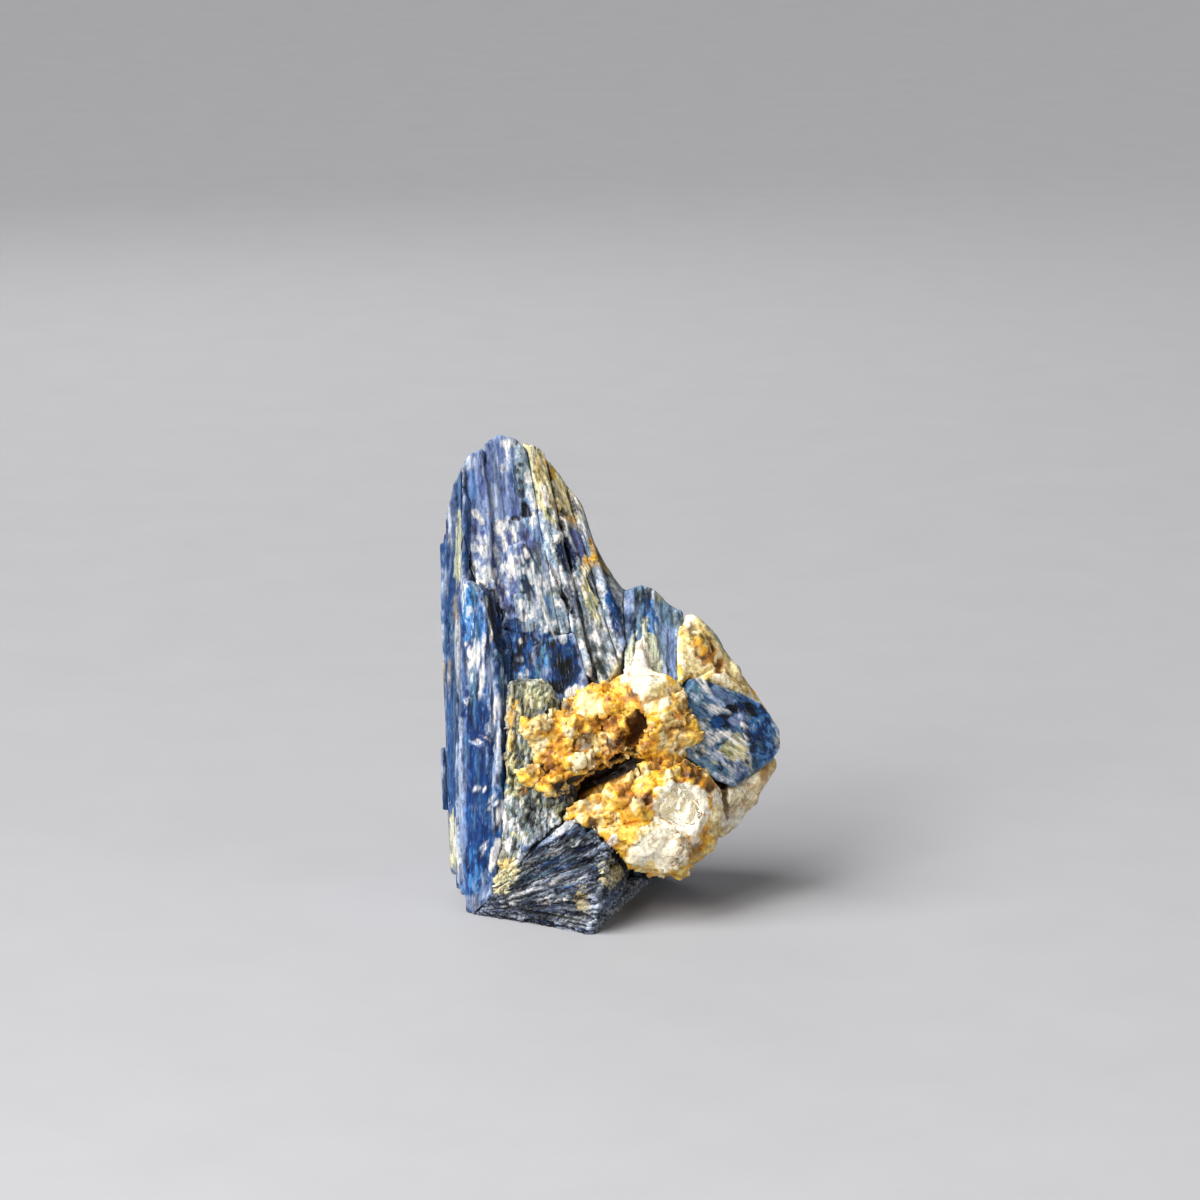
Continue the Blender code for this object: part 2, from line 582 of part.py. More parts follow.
# Earlier names keep their shape where two nodes meet: (name, crystals, hollows, plain colour, roughness)
GROWTH_ORDER = (
    ("broad_blade", broad_blade, None, (0.16, 0.20, 0.42), 0.35),
    ("left_blades", left_blades, None, (0.06, 0.16, 0.45), 0.35),
    ("right_blade", right_blade, None, (0.06, 0.15, 0.35), 0.35),
    ("clear_quartz", clear_quartz, None, (0.90, 0.87, 0.85), 0.10),
    ("base_blades", base_blades, None, (0.08, 0.11, 0.20), 0.45),
    ("mica_plates", mica_plates, None, (0.55, 0.56, 0.38), 0.50),
    ("shoulder_blades", shoulder_blades, None, (0.20, 0.30, 0.48), 0.40),
    ("flank_blades", flank_blades, None, (0.38, 0.44, 0.48), 0.45),
    ("quartz_matrix", quartz_matrix, quartz_hollows, (0.78, 0.55, 0.20), 0.60),
    ("back_blades", back_blades, None, (0.18, 0.25, 0.42), 0.40),
)


def material(name, colour, roughness):
    made = bpy.data.materials.new(name)
    made.use_nodes = True
    shader = made.node_tree.nodes["Principled BSDF"]
    shader.inputs["Base Color"].default_value = (*colour, 1.0)
    shader.inputs["Roughness"].default_value = roughness
    shader.inputs["Metallic"].default_value = 0.0
    return made


def centre_on_origin(nodes):
    """Moves the nodes together so that the origin is under the middle of their box."""
    points = [vertex.co for node in nodes for vertex in node.data.vertices]
    low = Vector(min(point[axis] for point in points) for axis in range(3))
    high = Vector(max(point[axis] for point in points) for axis in range(3))
    shift = Vector((-(low.x + high.x) / 2, -(low.y + high.y) / 2, -low.z))
    for node in nodes:
        for vertex in node.data.vertices:
            vertex.co += shift


def main():
    for old in list(bpy.data.objects):
        bpy.data.objects.remove(old)
    before, nodes = [], []
    for name, crystals_of, hollows_of, colour, roughness in GROWTH_ORDER:
        crystals = crystals_of()
        node = grow_node(name, crystals, hollows_of() if hollows_of else [], before)
        node.data.materials.clear()
        node.data.materials.append(material(name, colour, roughness))
        before += crystals
        nodes.append(node)
    centre_on_origin(nodes)


main()
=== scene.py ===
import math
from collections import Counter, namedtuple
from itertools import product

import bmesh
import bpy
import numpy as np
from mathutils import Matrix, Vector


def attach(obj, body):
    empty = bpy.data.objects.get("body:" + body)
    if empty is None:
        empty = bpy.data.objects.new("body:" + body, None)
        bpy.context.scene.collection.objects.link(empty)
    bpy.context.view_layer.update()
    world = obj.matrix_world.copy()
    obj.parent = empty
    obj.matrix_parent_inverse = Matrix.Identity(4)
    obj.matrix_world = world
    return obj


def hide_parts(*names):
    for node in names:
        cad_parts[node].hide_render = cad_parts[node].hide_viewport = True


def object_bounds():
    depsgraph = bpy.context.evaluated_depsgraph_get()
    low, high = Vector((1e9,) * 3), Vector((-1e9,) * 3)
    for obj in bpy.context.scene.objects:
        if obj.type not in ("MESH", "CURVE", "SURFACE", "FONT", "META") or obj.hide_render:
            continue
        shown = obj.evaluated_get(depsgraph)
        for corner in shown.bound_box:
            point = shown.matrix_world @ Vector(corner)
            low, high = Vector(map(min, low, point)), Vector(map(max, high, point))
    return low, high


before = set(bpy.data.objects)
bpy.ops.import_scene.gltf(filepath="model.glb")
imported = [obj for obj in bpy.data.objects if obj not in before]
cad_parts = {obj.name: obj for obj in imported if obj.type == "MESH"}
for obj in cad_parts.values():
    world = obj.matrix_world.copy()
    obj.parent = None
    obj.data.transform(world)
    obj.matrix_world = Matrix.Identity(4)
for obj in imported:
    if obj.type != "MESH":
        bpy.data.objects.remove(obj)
cad_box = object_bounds()

# Looks of the kyanite blade cluster.
#
# Every node is dressed with a fine surface grown from its own solid. The surface is broken into laths along
# the crystal's grain, or into angular quartz facets, and painted in code: first laths and facets get tones
# of their own, then marks are laid over them. A mark is a soft ragged patch at a place in the front view. It
# colours the surface there and may raise or sink it.
# Lengths are millimetres unless a name says otherwise, and MM turns them into metres.

MM = 0.001

# The front view: a long lens about 0.65 m away, looking slightly down
FRAME_PIXELS = 1200
FOCAL_PIXELS = 4650.0
SENSOR_MM = 36.0
CAMERA_AT = np.array((-1.45, -626.09, 180.6))
CAMERA_PITCH = math.radians(12.45)

# The surface grows outward by this much, which closes most of the seam between neighbouring nodes
GROWTH = 0.16
BOX_MARGIN = 0.02  # the visual model stays this far inside the CAD box

# ---------------------------------------------------------------- tones, as sRGB values

TONES = {
    "white": (236, 232, 226),
    "milk": (246, 232, 188),
    "snow": (248, 240, 218),
    "pale_blue": (190, 202, 222),
    "pale_grey": (196, 200, 202),
    "cream": (234, 218, 160),
    "cream_green": (200, 202, 168),
    "slate": (124, 144, 184),
    "slate_dark": (74, 98, 140),
    "violet": (76, 90, 152),
    "purple": (84, 90, 134),
    "plum": (44, 40, 74),
    "bright_blue": (72, 134, 196),
    "cobalt": (20, 76, 136),
    "deep_blue": (14, 48, 106),
    "navy": (12, 34, 68),
    "black": (12, 14, 20),
    "teal": (78, 124, 148),
    "steel": (120, 144, 164),
    "grey_violet": (144, 152, 172),
    "grey_green": (140, 148, 136),
    "dark_grey": (66, 72, 74),
    "olive": (168, 164, 112),
    "olive_dark": (92, 90, 52),
    "lime": (176, 180, 144),
    "yellow": (246, 206, 82),
    "gold": (236, 176, 36),
    "orange": (222, 148, 22),
    "rust": (172, 112, 30),
    "brown": (84, 50, 22),
    "umber": (38, 22, 12),
    "tan": (208, 180, 116),
    "pink": (224, 204, 188),
}

# Mixes of tones, for mottled ground; a tone named twice covers twice as much
MIXES = {
    "frost": "purple slate grey_violet pale_grey pale_grey white white",
    "chalk": "steel pale_grey white white",
    "night": "black black navy navy deep_blue cobalt teal",
    "inks": "black black navy navy deep_blue",
    "violets": "plum purple violet violet slate slate grey_violet",
    "cobalts": "navy deep_blue cobalt cobalt bright_blue",
    "deeps": "navy deep_blue deep_blue cobalt cobalt",
    "brights": "deep_blue cobalt bright_blue bright_blue pale_blue",
    "slates": "slate_dark slate slate grey_violet pale_blue",
    "teals": "navy slate_dark teal teal steel pale_blue",
    "greys": "dark_grey grey_green steel pale_grey white",
    "ashes": "black dark_grey dark_grey grey_green pale_grey",
    "straws": "olive cream_green cream_green cream cream white",
    "creams": "gold tan cream cream milk",
    "bones": "olive_dark tan tan cream cream milk",
    "milks": "tan cream milk milk snow snow",
    "speckles": "navy teal slate slate pale_grey white",
    "golds": "rust orange gold gold gold yellow yellow milk",
    "oranges": "brown rust orange gold gold yellow",
    "rusts": "umber brown rust rust orange",
    "umbers": "black umber umber brown rust",
    "tans": "rust gold tan tan cream milk",
}


def linear(tone):
    """A named tone as linear colour."""
    share = np.array(TONES[tone]) / 255.0
    return np.where(share <= 0.04045, share / 12.92, ((share + 0.055) / 1.055) ** 2.4)


# ---------------------------------------------------------------- marks

# x and y are a mark's middle, and wide and tall are half its width and height, all in pixels of the
# front view. tone is a tone or a mix, lean turns the mark anticlockwise, in degrees, share is how much of
# the tone it lays on, and lift raises the surface, in mm.
# Black marks that sink the surface stand for fissures, pits and gaps between sheets, and their black is
# painted shade in them.
Mark = namedtuple("Mark", "tone x y wide tall lean share lift", defaults=(0.0, 1.0, 0.0))


def mark_list(*rows):
    """Marks, each from a row of the numbers above, in that order."""
    return [Mark(*row) for row in rows]


def hatching(seed, count, x, y, wide, tall, lean, tones, thick=1.3, long=12.0, share=0.85, lift=0.04):
    """Thin streaks strewn over a leaning patch, as marks.

    thick and long are about half a streak's width and half its length."""
    rng = np.random.default_rng(seed)
    names = tones.split()
    sine, cosine = math.sin(math.radians(lean)), math.cos(math.radians(lean))
    streaks = []
    for _ in range(count):
        u, v = rng.uniform(-1.0, 1.0, size=2) * (wide, tall)
        place = (x + u * cosine + v * sine, y - u * sine + v * cosine)
        size = rng.uniform(0.6, 1.4, size=2) * (thick, long)
        tone = names[rng.integers(len(names))]
        turn = lean + rng.normal(0.0, 2.5)
        streaks.append(Mark(tone, *place, *size, turn, share, lift * rng.uniform(-1.0, 1.0)))
    return streaks


# ---------------------------------------------------------------- repeatable noise, in numpy

HASH_STEPS = (np.int64(73856093), np.int64(19349663), np.int64(83492791))
HASH_SEED = np.int64(2654435761)
HASH_MIX = np.int64(1274126177)
LOW_BITS = np.int64(0xFFFFFFFF)


def hashed(cell, seed):
    """A repeatable number from 0 to 1 for each whole-number cell, an (n, 3) array."""
    mixed = cell[:, 0] * HASH_STEPS[0] ^ cell[:, 1] * HASH_STEPS[1] ^ cell[:, 2] * HASH_STEPS[2]
    mixed = (mixed + HASH_SEED * np.int64(seed + 1)) & LOW_BITS
    for shift in (15, 13, 16):
        mixed = ((mixed ^ (mixed >> shift)) * HASH_MIX) & LOW_BITS
    return (mixed >> 8 & 0xFFFF) / 65535.0


def noise(points, seed):
    """Smooth noise from -1 to 1, with one bump to each unit."""
    cell = np.floor(points).astype(np.int64)
    part = points - cell
    part = part * part * (3 - 2 * part)
    total = np.zeros(len(points))
    for corner in product((0, 1), repeat=3):
        weight = np.prod(np.where(corner, part, 1 - part), axis=1)
        total += weight * hashed(cell + np.array(corner), seed)
    return total * 2 - 1


def fractal(points, octaves, seed):
    """Noise in octaves, each half as large and half as strong as the one before."""
    total = np.zeros(len(points))
    for octave in range(octaves):
        total += noise(points * 2.0 ** octave, seed + octave) / 2.0 ** octave
    return total / 1.6


def nearest_cells(points, seed):
    """For each point: the way from the nearest of the scattered seeds, the gap to the second nearest, a
    number from 0 to 1 that is the seed's own, and the seed's cell."""
    home = np.floor(points).astype(np.int64)
    best = np.full(len(points), np.inf)
    second = np.full(len(points), np.inf)
    away = np.zeros_like(points)
    cell = np.zeros_like(home)
    for step in product((-1, 0, 1), repeat=3):
        near = home + np.array(step)
        spot = near + np.stack([hashed(near, seed + axis) for axis in range(3)], axis=1)
        way = points - spot
        distance = np.sqrt((way * way).sum(axis=1))
        closer = distance < best
        second = np.where(closer, best, np.minimum(second, distance))
        best = np.where(closer, distance, best)
        away[closer] = way[closer]
        cell[closer] = near[closer]
    return away, second - best, hashed(cell, seed + 7), cell


def ranked(values):
    """Each value's place among them all, from 0 for the lowest to 1 for the highest."""
    place = np.empty(len(values))
    place[np.argsort(values, kind="stable")] = np.linspace(0.0, 1.0, len(values))
    return place


def smooth(value, low, high):
    """0 below low, 1 above high, and a soft step between."""
    share = np.clip((value - low) / (high - low), 0.0, 1.0)
    return share * share * (3 - 2 * share)


# ---------------------------------------------------------------- grain: (across, along, depth) in mm


def straight_grain(along, across=(1, 0, 0)):
    """Crystals that all run one way."""
    along = np.array(along) / np.linalg.norm(along)
    across = np.array(across) - along * np.dot(across, along)
    across /= np.linalg.norm(across)
    axes = np.stack([across, along, np.cross(across, along)])
    return lambda points: points @ axes.T


def fanned_grain(pivot_x, pivot_z, reach):
    """Crystals that spread from a pivot in the front view; reach is where across is true to size."""

    def grain(points):
        x, z = points[:, 0] - pivot_x, points[:, 2] - pivot_z
        return np.stack([np.arctan2(z, x) * reach, np.hypot(x, z), points[:, 1]], axis=1)

    return grain


# ---------------------------------------------------------------- surfaces

# How squarely a mark is cut: 2 would make it an oval
MARK_POWER = 2.4


class Surface:
    """A fine mesh grown from a CAD node, with arrays for the places, normals and paint of its points."""

    def __init__(self, name, node, voxel):
        self.object = remeshed(name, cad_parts[node], voxel * MM * (1.0))
        self.mesh = self.object.data
        self.rest = read(self.mesh.vertices, "co", 3) / MM
        self.places = self.rest.copy()
        self.normals = read(self.mesh.vertex_normals, "vector", 3)
        self.edges = read(self.mesh.edges, "vertices", 2, np.int64)
        self.paint = np.zeros_like(self.rest)
        self.matt = np.full(len(self.rest), 0.3)
        self.seen = picture(self.rest)
        sight = self.rest - CAMERA_AT
        sight /= np.linalg.norm(sight, axis=1)[:, None]
        facing = -(sight * self.normals).sum(axis=1)
        self.front = smooth(facing, -0.15, 0.25)

    def averaged(self, values):
        """Each point's values, averaged over its neighbours."""
        total = np.zeros_like(values)
        np.add.at(total, self.edges[:, 0], values[self.edges[:, 1]])
        np.add.at(total, self.edges[:, 1], values[self.edges[:, 0]])
        links = np.bincount(self.edges.ravel(), minlength=len(values))
        return total / np.maximum(links, 1)[:, None]

    def bend(self, rounds=3):
        """How far each point stands out of its neighbourhood: above 0 on an edge, below 0 in a groove."""
        level = self.places
        for _ in range(rounds):
            level = self.averaged(level)
        return ((self.places - level) * self.normals).sum(axis=1)

    def relax(self, share, rounds):
        """Smooths the shape where share is near 1."""
        for _ in range(rounds):
            self.places += (self.averaged(self.places) - self.places) * share[:, None]
        self.write_places()
        self.normals = read(self.mesh.vertex_normals, "vector", 3)

    def write_places(self):
        self.mesh.vertices.foreach_set("co", (self.places * MM).ravel())
        self.mesh.update()

    def lift(self, height):
        """Moves the points outward by one height, or by each point's own."""
        self.places += self.normals * np.reshape(height, (-1, 1))

    def tint(self, tone, share):
        """Blends in a tone, a mix or an array of colours, by one share or by each point's own."""
        colour = self.dealt(tone) if isinstance(tone, str) else tone
        share = np.reshape(share, (-1, 1))
        self.paint = self.paint * (1 - share) + colour * share

    def mottle(self, coordinates, seed):
        """Sets the noise that frays the outlines of marks and deals out the tones of a mix.

        coordinates are in units of the largest fleck."""
        waves = [fractal(coordinates / 2.0, 2, seed), fractal(coordinates / 2.0, 2, seed + 10)]
        self.wave = np.stack(waves, axis=1)
        self.fringe = fractal(coordinates, 3, seed + 20)
        self.rank = ranked(fractal(coordinates / 1.5, 4, seed + 30))

    def dealt(self, tone):
        """The colour of a tone, or the colours of a mix dealt out over the points."""
        if tone in MIXES:
            return by_weight(Counter(MIXES[tone].split()), self.rank)
        return linear(tone)

    def lay(self, marks):
        """Lays marks on the front, one over the other."""
        lift = np.zeros(len(self.places))
        for mark in marks:
            share = self.covered(mark)
            self.tint(mark.tone, share * mark.share)
            lift += share * mark.lift
        self.lift(lift)

    def lay_zones(self, zones, seed):
        """Lays mixes over broad patches of the sides that the front view doesn't show.

        Each zone is (mix, patch size in mm, the noise level where it starts)."""
        for step, (mix, size, start) in enumerate(zones):
            patch = fractal(self.rest / size, 2, seed + step * 3) + self.fringe * 0.12
            share = smooth(patch, start, start + 0.08) * (1 - self.front)
            self.tint(mix, share * 0.9)

    def covered(self, mark, front_only=True):
        """How strongly a mark covers each point, from 0 to 1."""
        narrow = min(mark.wide, mark.tall)
        stray = 0.2 * narrow + 1.5
        fray = min(0.7 * narrow, 5.0)
        right, down = (self.seen + self.wave * stray - (mark.x, mark.y)).T
        sine, cosine = math.sin(math.radians(mark.lean)), math.cos(math.radians(mark.lean))
        across = np.abs(right * cosine - down * sine) / mark.wide
        along = np.abs(right * sine + down * cosine) / mark.tall
        inside = (1.0 - (across ** MARK_POWER + along ** MARK_POWER) ** (1 / MARK_POWER)) * narrow
        share = smooth(inside + self.fringe * fray, -0.8, 0.8)
        return share * self.front if front_only else share

    def finish(self, node, shader):
        """Writes the points and their paint to the mesh, and attaches the piece to the root body."""
        self.places = inside_box(self.places)
        self.write_places()
        self.mesh.shade_smooth()
        write_paint(self.mesh, self.paint, self.matt)
        self.mesh.materials.clear()
        self.mesh.materials.append(shader)
        hand_over(self.object)
        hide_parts(node)


def new_object(name, data):
    made = bpy.data.objects.new(name, data)
    bpy.context.scene.collection.objects.link(made)
    return made


def remeshed(name, node, voxel_metres):
    """A copy of a CAD node with an even, fine mesh."""
    mesh = bmesh.new()
    mesh.from_mesh(node.data)
    bmesh.ops.remove_doubles(mesh, verts=mesh.verts, dist=1e-6)
    data = bpy.data.meshes.new(name)
    mesh.to_mesh(data)
    mesh.free()
    made = new_object(name, data)
    remesh = made.modifiers.new("even_mesh", "REMESH")
    remesh.mode = "VOXEL"
    remesh.voxel_size = voxel_metres
    graph = bpy.context.evaluated_depsgraph_get()
    even = bpy.data.meshes.new_from_object(made.evaluated_get(graph))
    made.modifiers.clear()
    made.data = even
    even.name = name
    return made


def read(items, name, width, kind=float):
    """One property of all of a mesh's points or edges, as an array with a row for each."""
    values = np.empty(len(items) * width, dtype=kind)
    items.foreach_get(name, values)
    return values.reshape(-1, width)


def picture(points):
    """Where points, in mm, stand in the front view, in pixels."""
    away = points - CAMERA_AT
    deep = away[:, 1] * math.cos(CAMERA_PITCH) - away[:, 2] * math.sin(CAMERA_PITCH)
    up = away[:, 1] * math.sin(CAMERA_PITCH) + away[:, 2] * math.cos(CAMERA_PITCH)
    half = FRAME_PIXELS / 2
    return np.stack([half + FOCAL_PIXELS * away[:, 0] / deep, half - FOCAL_PIXELS * up / deep], axis=1)


def inside_box(places):
    """Keeps points, in mm, inside the CAD box."""
    low, high = (np.array(corner) / MM for corner in cad_box)
    return np.clip(places, low + BOX_MARGIN, high - BOX_MARGIN)


def write_paint(mesh, paint, matt):
    colours = np.ones((len(paint), 4), dtype=np.float32)
    colours[:, :3] = paint
    mesh.attributes.new("paint", "FLOAT_COLOR", "POINT").data.foreach_set("color", colours.ravel())
    mesh.attributes.new("matt", "FLOAT", "POINT").data.foreach_set("value", matt.astype(np.float32))


def write_grain(mesh, grain):
    attribute = mesh.attributes.new("grain", "FLOAT_VECTOR", "POINT")
    attribute.data.foreach_set("vector", grain.astype(np.float32).ravel())


def hand_over(piece):
    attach(piece, "root")


# ---------------------------------------------------------------- shaders

# Bumps to the mm across the grain, along it and in depth
STREAK_SCALE = (2.6, 0.14, 1.4)
FLECK_SCALE = (3.4, 1.1, 3.4)
FIBRE_SCALE = (4.5, 0.7, 4.0)

# Bumps to the metre
STAIN_SCALE = (1500, 1500, 1500)
SUGAR_SCALE = (3600, 3600, 3600)
WAVE_SCALE = (700, 700, 1400)
FLOOR_SCALE = (60, 60, 60)

KYANITE_IOR = 1.72
QUARTZ_IOR = 1.54


class Shader:
    """A Principled material and short calls for the nodes that feed it."""

    def __init__(self, name, **settings):
        self.material = bpy.data.materials.new(name)
        self.material.use_nodes = True
        self.nodes = self.material.node_tree.nodes
        self.links = self.material.node_tree.links
        self.surface = self.nodes["Principled BSDF"]
        self.set(self.surface, **settings)

    def add(self, kind, **settings):
        made = self.nodes.new(kind)
        for key, value in settings.items():
            setattr(made, key, value)
        return made

    def set(self, node, **values):
        """Gives sockets a value or a link."""
        for name, value in values.items():
            self.give(node.inputs[name.replace("_", " ")], value)

    def give(self, socket, value):
        if isinstance(value, bpy.types.NodeSocket):
            self.links.new(value, socket)
        else:
            socket.default_value = value

    def attribute(self, name, output):
        return self.add("ShaderNodeAttribute", attribute_name=name).outputs[output]

    def place(self, scale):
        return self.stretched(self.add("ShaderNodeTexCoord").outputs["Object"], scale)

    def stretched(self, vector, scale):
        made = self.add("ShaderNodeMapping")
        self.set(made, Vector=vector, Scale=scale)
        return made.outputs["Vector"]

    def noise(self, vector, detail=4.0, roughness=0.6, distortion=0.0):
        made = self.add("ShaderNodeTexNoise")
        self.set(made, Vector=vector, Scale=1.0, Detail=detail, Roughness=roughness, Distortion=distortion)
        return made.outputs["Fac"]

    def voronoi(self, vector):
        made = self.add("ShaderNodeTexVoronoi")
        self.set(made, Vector=vector, Scale=1.0)
        return made.outputs["Distance"]

    def spread(self, value, low, high, to_low, to_high):
        made = self.add("ShaderNodeMapRange", interpolation_type="SMOOTHSTEP")
        self.set(made, Value=value, From_Min=low, From_Max=high, To_Min=to_low, To_Max=to_high)
        return made.outputs["Result"]

    def math(self, operation, first, second):
        made = self.add("ShaderNodeMath", operation=operation)
        self.give(made.inputs[0], first)
        self.give(made.inputs[1], second)
        return made.outputs["Value"]

    def mix(self, share, first, second, blend="MIX"):
        """Blends two colours; each argument is a socket or a value."""
        made = self.add("ShaderNodeMix", data_type="RGBA", blend_type=blend)
        for socket, value in zip((made.inputs[0], made.inputs[6], made.inputs[7]), (share, first, second)):
            self.give(socket, value)
        return made.outputs[2]

    def grey(self, value):
        made = self.add("ShaderNodeCombineColor")
        for socket in made.inputs[:3]:
            self.give(socket, value)
        return made.outputs["Color"]

    def rough(self, gloss):
        """Sets the roughness to gloss, with the paint's matt places on top."""
        matt = self.math("MULTIPLY", self.attribute("matt", "Fac"), 0.4)
        self.set(self.surface, Roughness=self.math("ADD", gloss, matt))

    def bump(self, height, strength, distance_mm):
        made = self.add("ShaderNodeBump")
        self.set(made, Height=height, Strength=strength, Distance=distance_mm * MM)
        self.set(self.surface, Normal=made.outputs["Normal"])


def kyanite_shader(name, contrast, fibre_share, polish):
    """Striated kyanite: streaks and dark and pale flecks along the grain, with a glassy to pearly gloss."""
    shader = Shader(name, IOR=KYANITE_IOR, Specular_IOR_Level=0.14)
    grain = shader.attribute("grain", "Vector")
    streaks = shader.noise(shader.stretched(grain, STREAK_SCALE), detail=5.0, roughness=0.65)
    flecks = shader.noise(shader.stretched(grain, FLECK_SCALE), roughness=0.7)
    fibres = shader.noise(shader.stretched(grain, FIBRE_SCALE), roughness=0.65, distortion=0.3)
    shade = shader.grey(shader.spread(streaks, 0.35, 0.65, 1.0 - contrast, 1.0 + contrast))
    colour = shader.mix(1.0, shader.attribute("paint", "Color"), shade, "MULTIPLY")
    pale = (*linear("pale_blue"), 1.0)
    colour = shader.mix(shader.spread(fibres, 0.57, 0.66, 0.0, fibre_share), colour, pale)
    dark = shader.grey(shader.spread(flecks, 0.38, 0.52, 1.0 - 1.6 * contrast, 1.0))
    shader.set(shader.surface, Base_Color=shader.mix(1.0, colour, dark, "MULTIPLY"))
    shader.rough(shader.spread(streaks, 0.3, 0.7, polish, polish + 0.16))
    relief = shader.math("ADD", streaks, shader.math("MULTIPLY", fibres, 0.6))
    relief = shader.math("ADD", relief, shader.math("MULTIPLY", flecks, 0.6))
    shader.bump(relief, strength=0.7, distance_mm=0.14)
    return shader.material


def quartz_shader():
    """Granular quartz: sugary sparkle, fine stains and a slight glow inside."""
    shader = Shader("stained_quartz", IOR=QUARTZ_IOR, Specular_IOR_Level=0.5, Subsurface_Weight=0.15,
                    Subsurface_Scale=0.8 * MM, Subsurface_Radius=(1.0, 0.6, 0.3))
    stains = shader.noise(shader.place(STAIN_SCALE), detail=6.0, roughness=0.75)
    sugar = shader.voronoi(shader.place(SUGAR_SCALE))
    warm = shader.mix(shader.spread(stains, 0.50, 0.68, 0.0, 0.4), shader.attribute("paint", "Color"),
                      (*linear("yellow"), 1.0), "MULTIPLY")
    cloud = shader.grey(shader.spread(stains, 0.36, 0.64, 1.3, 0.7))
    shader.set(shader.surface, Base_Color=shader.mix(1.0, warm, cloud, "MULTIPLY"))
    shader.rough(shader.spread(sugar, 0.1, 0.6, 0.22, 0.5))
    relief = shader.math("ADD", stains, shader.math("MULTIPLY", sugar, 0.5))
    shader.bump(relief, strength=0.5, distance_mm=0.12)
    return shader.material


def clear_shader():
    """Clear quartz: glassy, with a wavy skin and a breath of frost."""
    shader = Shader("clear_quartz", IOR=QUARTZ_IOR, Transmission_Weight=1.0,
                    Base_Color=(1.0, 0.98, 0.94, 1.0))
    waves = shader.noise(shader.place(WAVE_SCALE), detail=3.0)
    shader.set(shader.surface, Roughness=shader.spread(waves, 0.35, 0.7, 0.03, 0.22))
    shader.bump(waves, strength=0.4, distance_mm=0.2)
    return shader.material


def floor_shader():
    shader = Shader("pale_floor", Roughness=0.8)
    mottle = shader.noise(shader.place(FLOOR_SCALE), detail=3.0)
    colour = shader.mix(mottle, (0.36, 0.36, 0.375, 1.0), (0.395, 0.395, 0.41, 1.0))
    shader.set(shader.surface, Base_Color=colour)
    return shader.material


# ---------------------------------------------------------------- breaking up a surface


def broken_to_laths(surface, grain, wide, long, proud, tones, seed, strength=0.8):
    """Parts the surface into laths along the grain, each with its own level and tone.

    wide and long are a lath's usual size, proud is how far it may stand out, and tones maps tones to their
    weights. Returns how near each point is to a crack between laths, from 0 to 1."""
    warp = fractal(grain / np.array((wide * 3, long, wide * 3)), 2, seed + 50)
    bent = grain + np.stack([warp * wide * 0.5, warp * 0, warp * 0], axis=1)
    away, gap, pick, _ = nearest_cells(bent / np.array((wide, long, wide)), seed)
    level = (pick - 0.5) * 2 * proud
    tilt = away[:, 0] * (hashed_pick(pick, 3) - 0.5) * proud * 1.6
    crack = 1 - smooth(gap, 0.0, 0.16)
    surface.lift(level + tilt - crack * proud * 0.5)
    surface.tint(by_weight(tones, hashed_pick(pick, 5)), strength)
    return crack


def broken_to_facets(surface, size, proud, seed):
    """Breaks the surface into flat facets that tilt every way, as quartz breaks."""
    away, gap, pick, cell = nearest_cells(surface.rest / size, seed)
    lean = np.stack([hashed(cell, seed + step) - 0.5 for step in (11, 12, 13)], axis=1)
    height = (pick - 0.5) * proud * 0.8 + (away * lean).sum(axis=1) * proud * 4.5
    surface.lift(height - (1 - smooth(gap, 0.0, 0.10)) * proud * 0.2)
    return pick


def hashed_pick(pick, step):
    """Another number from 0 to 1 for each pick."""
    return np.modf(pick * (97.13 + step * 31.7))[0]


def by_weight(tones, pick):
    """A colour for each pick from 0 to 1, from tones mapped to their weights."""
    weights = np.cumsum(list(tones.values()))
    index = np.minimum(np.searchsorted(weights / weights[-1], pick), len(tones) - 1)
    return np.array([linear(tone) for tone in tones])[index]


# ---------------------------------------------------------------- kyanite pieces

# Broad patches on the sides that the front view doesn't show
BLUE_ZONES = [("violets", 8.0, 0.15), ("cobalts", 7.0, 0.2), ("night", 6.0, 0.35), ("frost", 5.0, 0.35),
              ("bones", 4.0, 0.55)]
GREY_ZONES = [("greys", 6.0, 0.1), ("teals", 5.0, 0.25), ("straws", 5.0, 0.35), ("ashes", 4.0, 0.45)]
DARK_ZONES = [("inks", 5.0, 0.1), ("slates", 4.0, 0.4), ("chalk", 3.0, 0.6)]

# A finer layer of laths lies on the first; these are its shares of the first layer's sizes
FINE_WIDE, FINE_LONG, FINE_PROUD = 0.4, 0.6, 0.35

# The sizes of streaks and flecks across the grain, along it and in depth
STREAK_SIZE = np.array((1.0, 8.0, 1.2))
FLECK_SIZE = np.array((0.5, 1.1, 0.5))

# How far an edge stands out, where its wear starts and where it is full, and how far a groove lies back,
# where its painted shade starts and where it is full
WORN_EDGE = (0.02, 0.10)
SHADED_GROOVE = (0.015, 0.09)


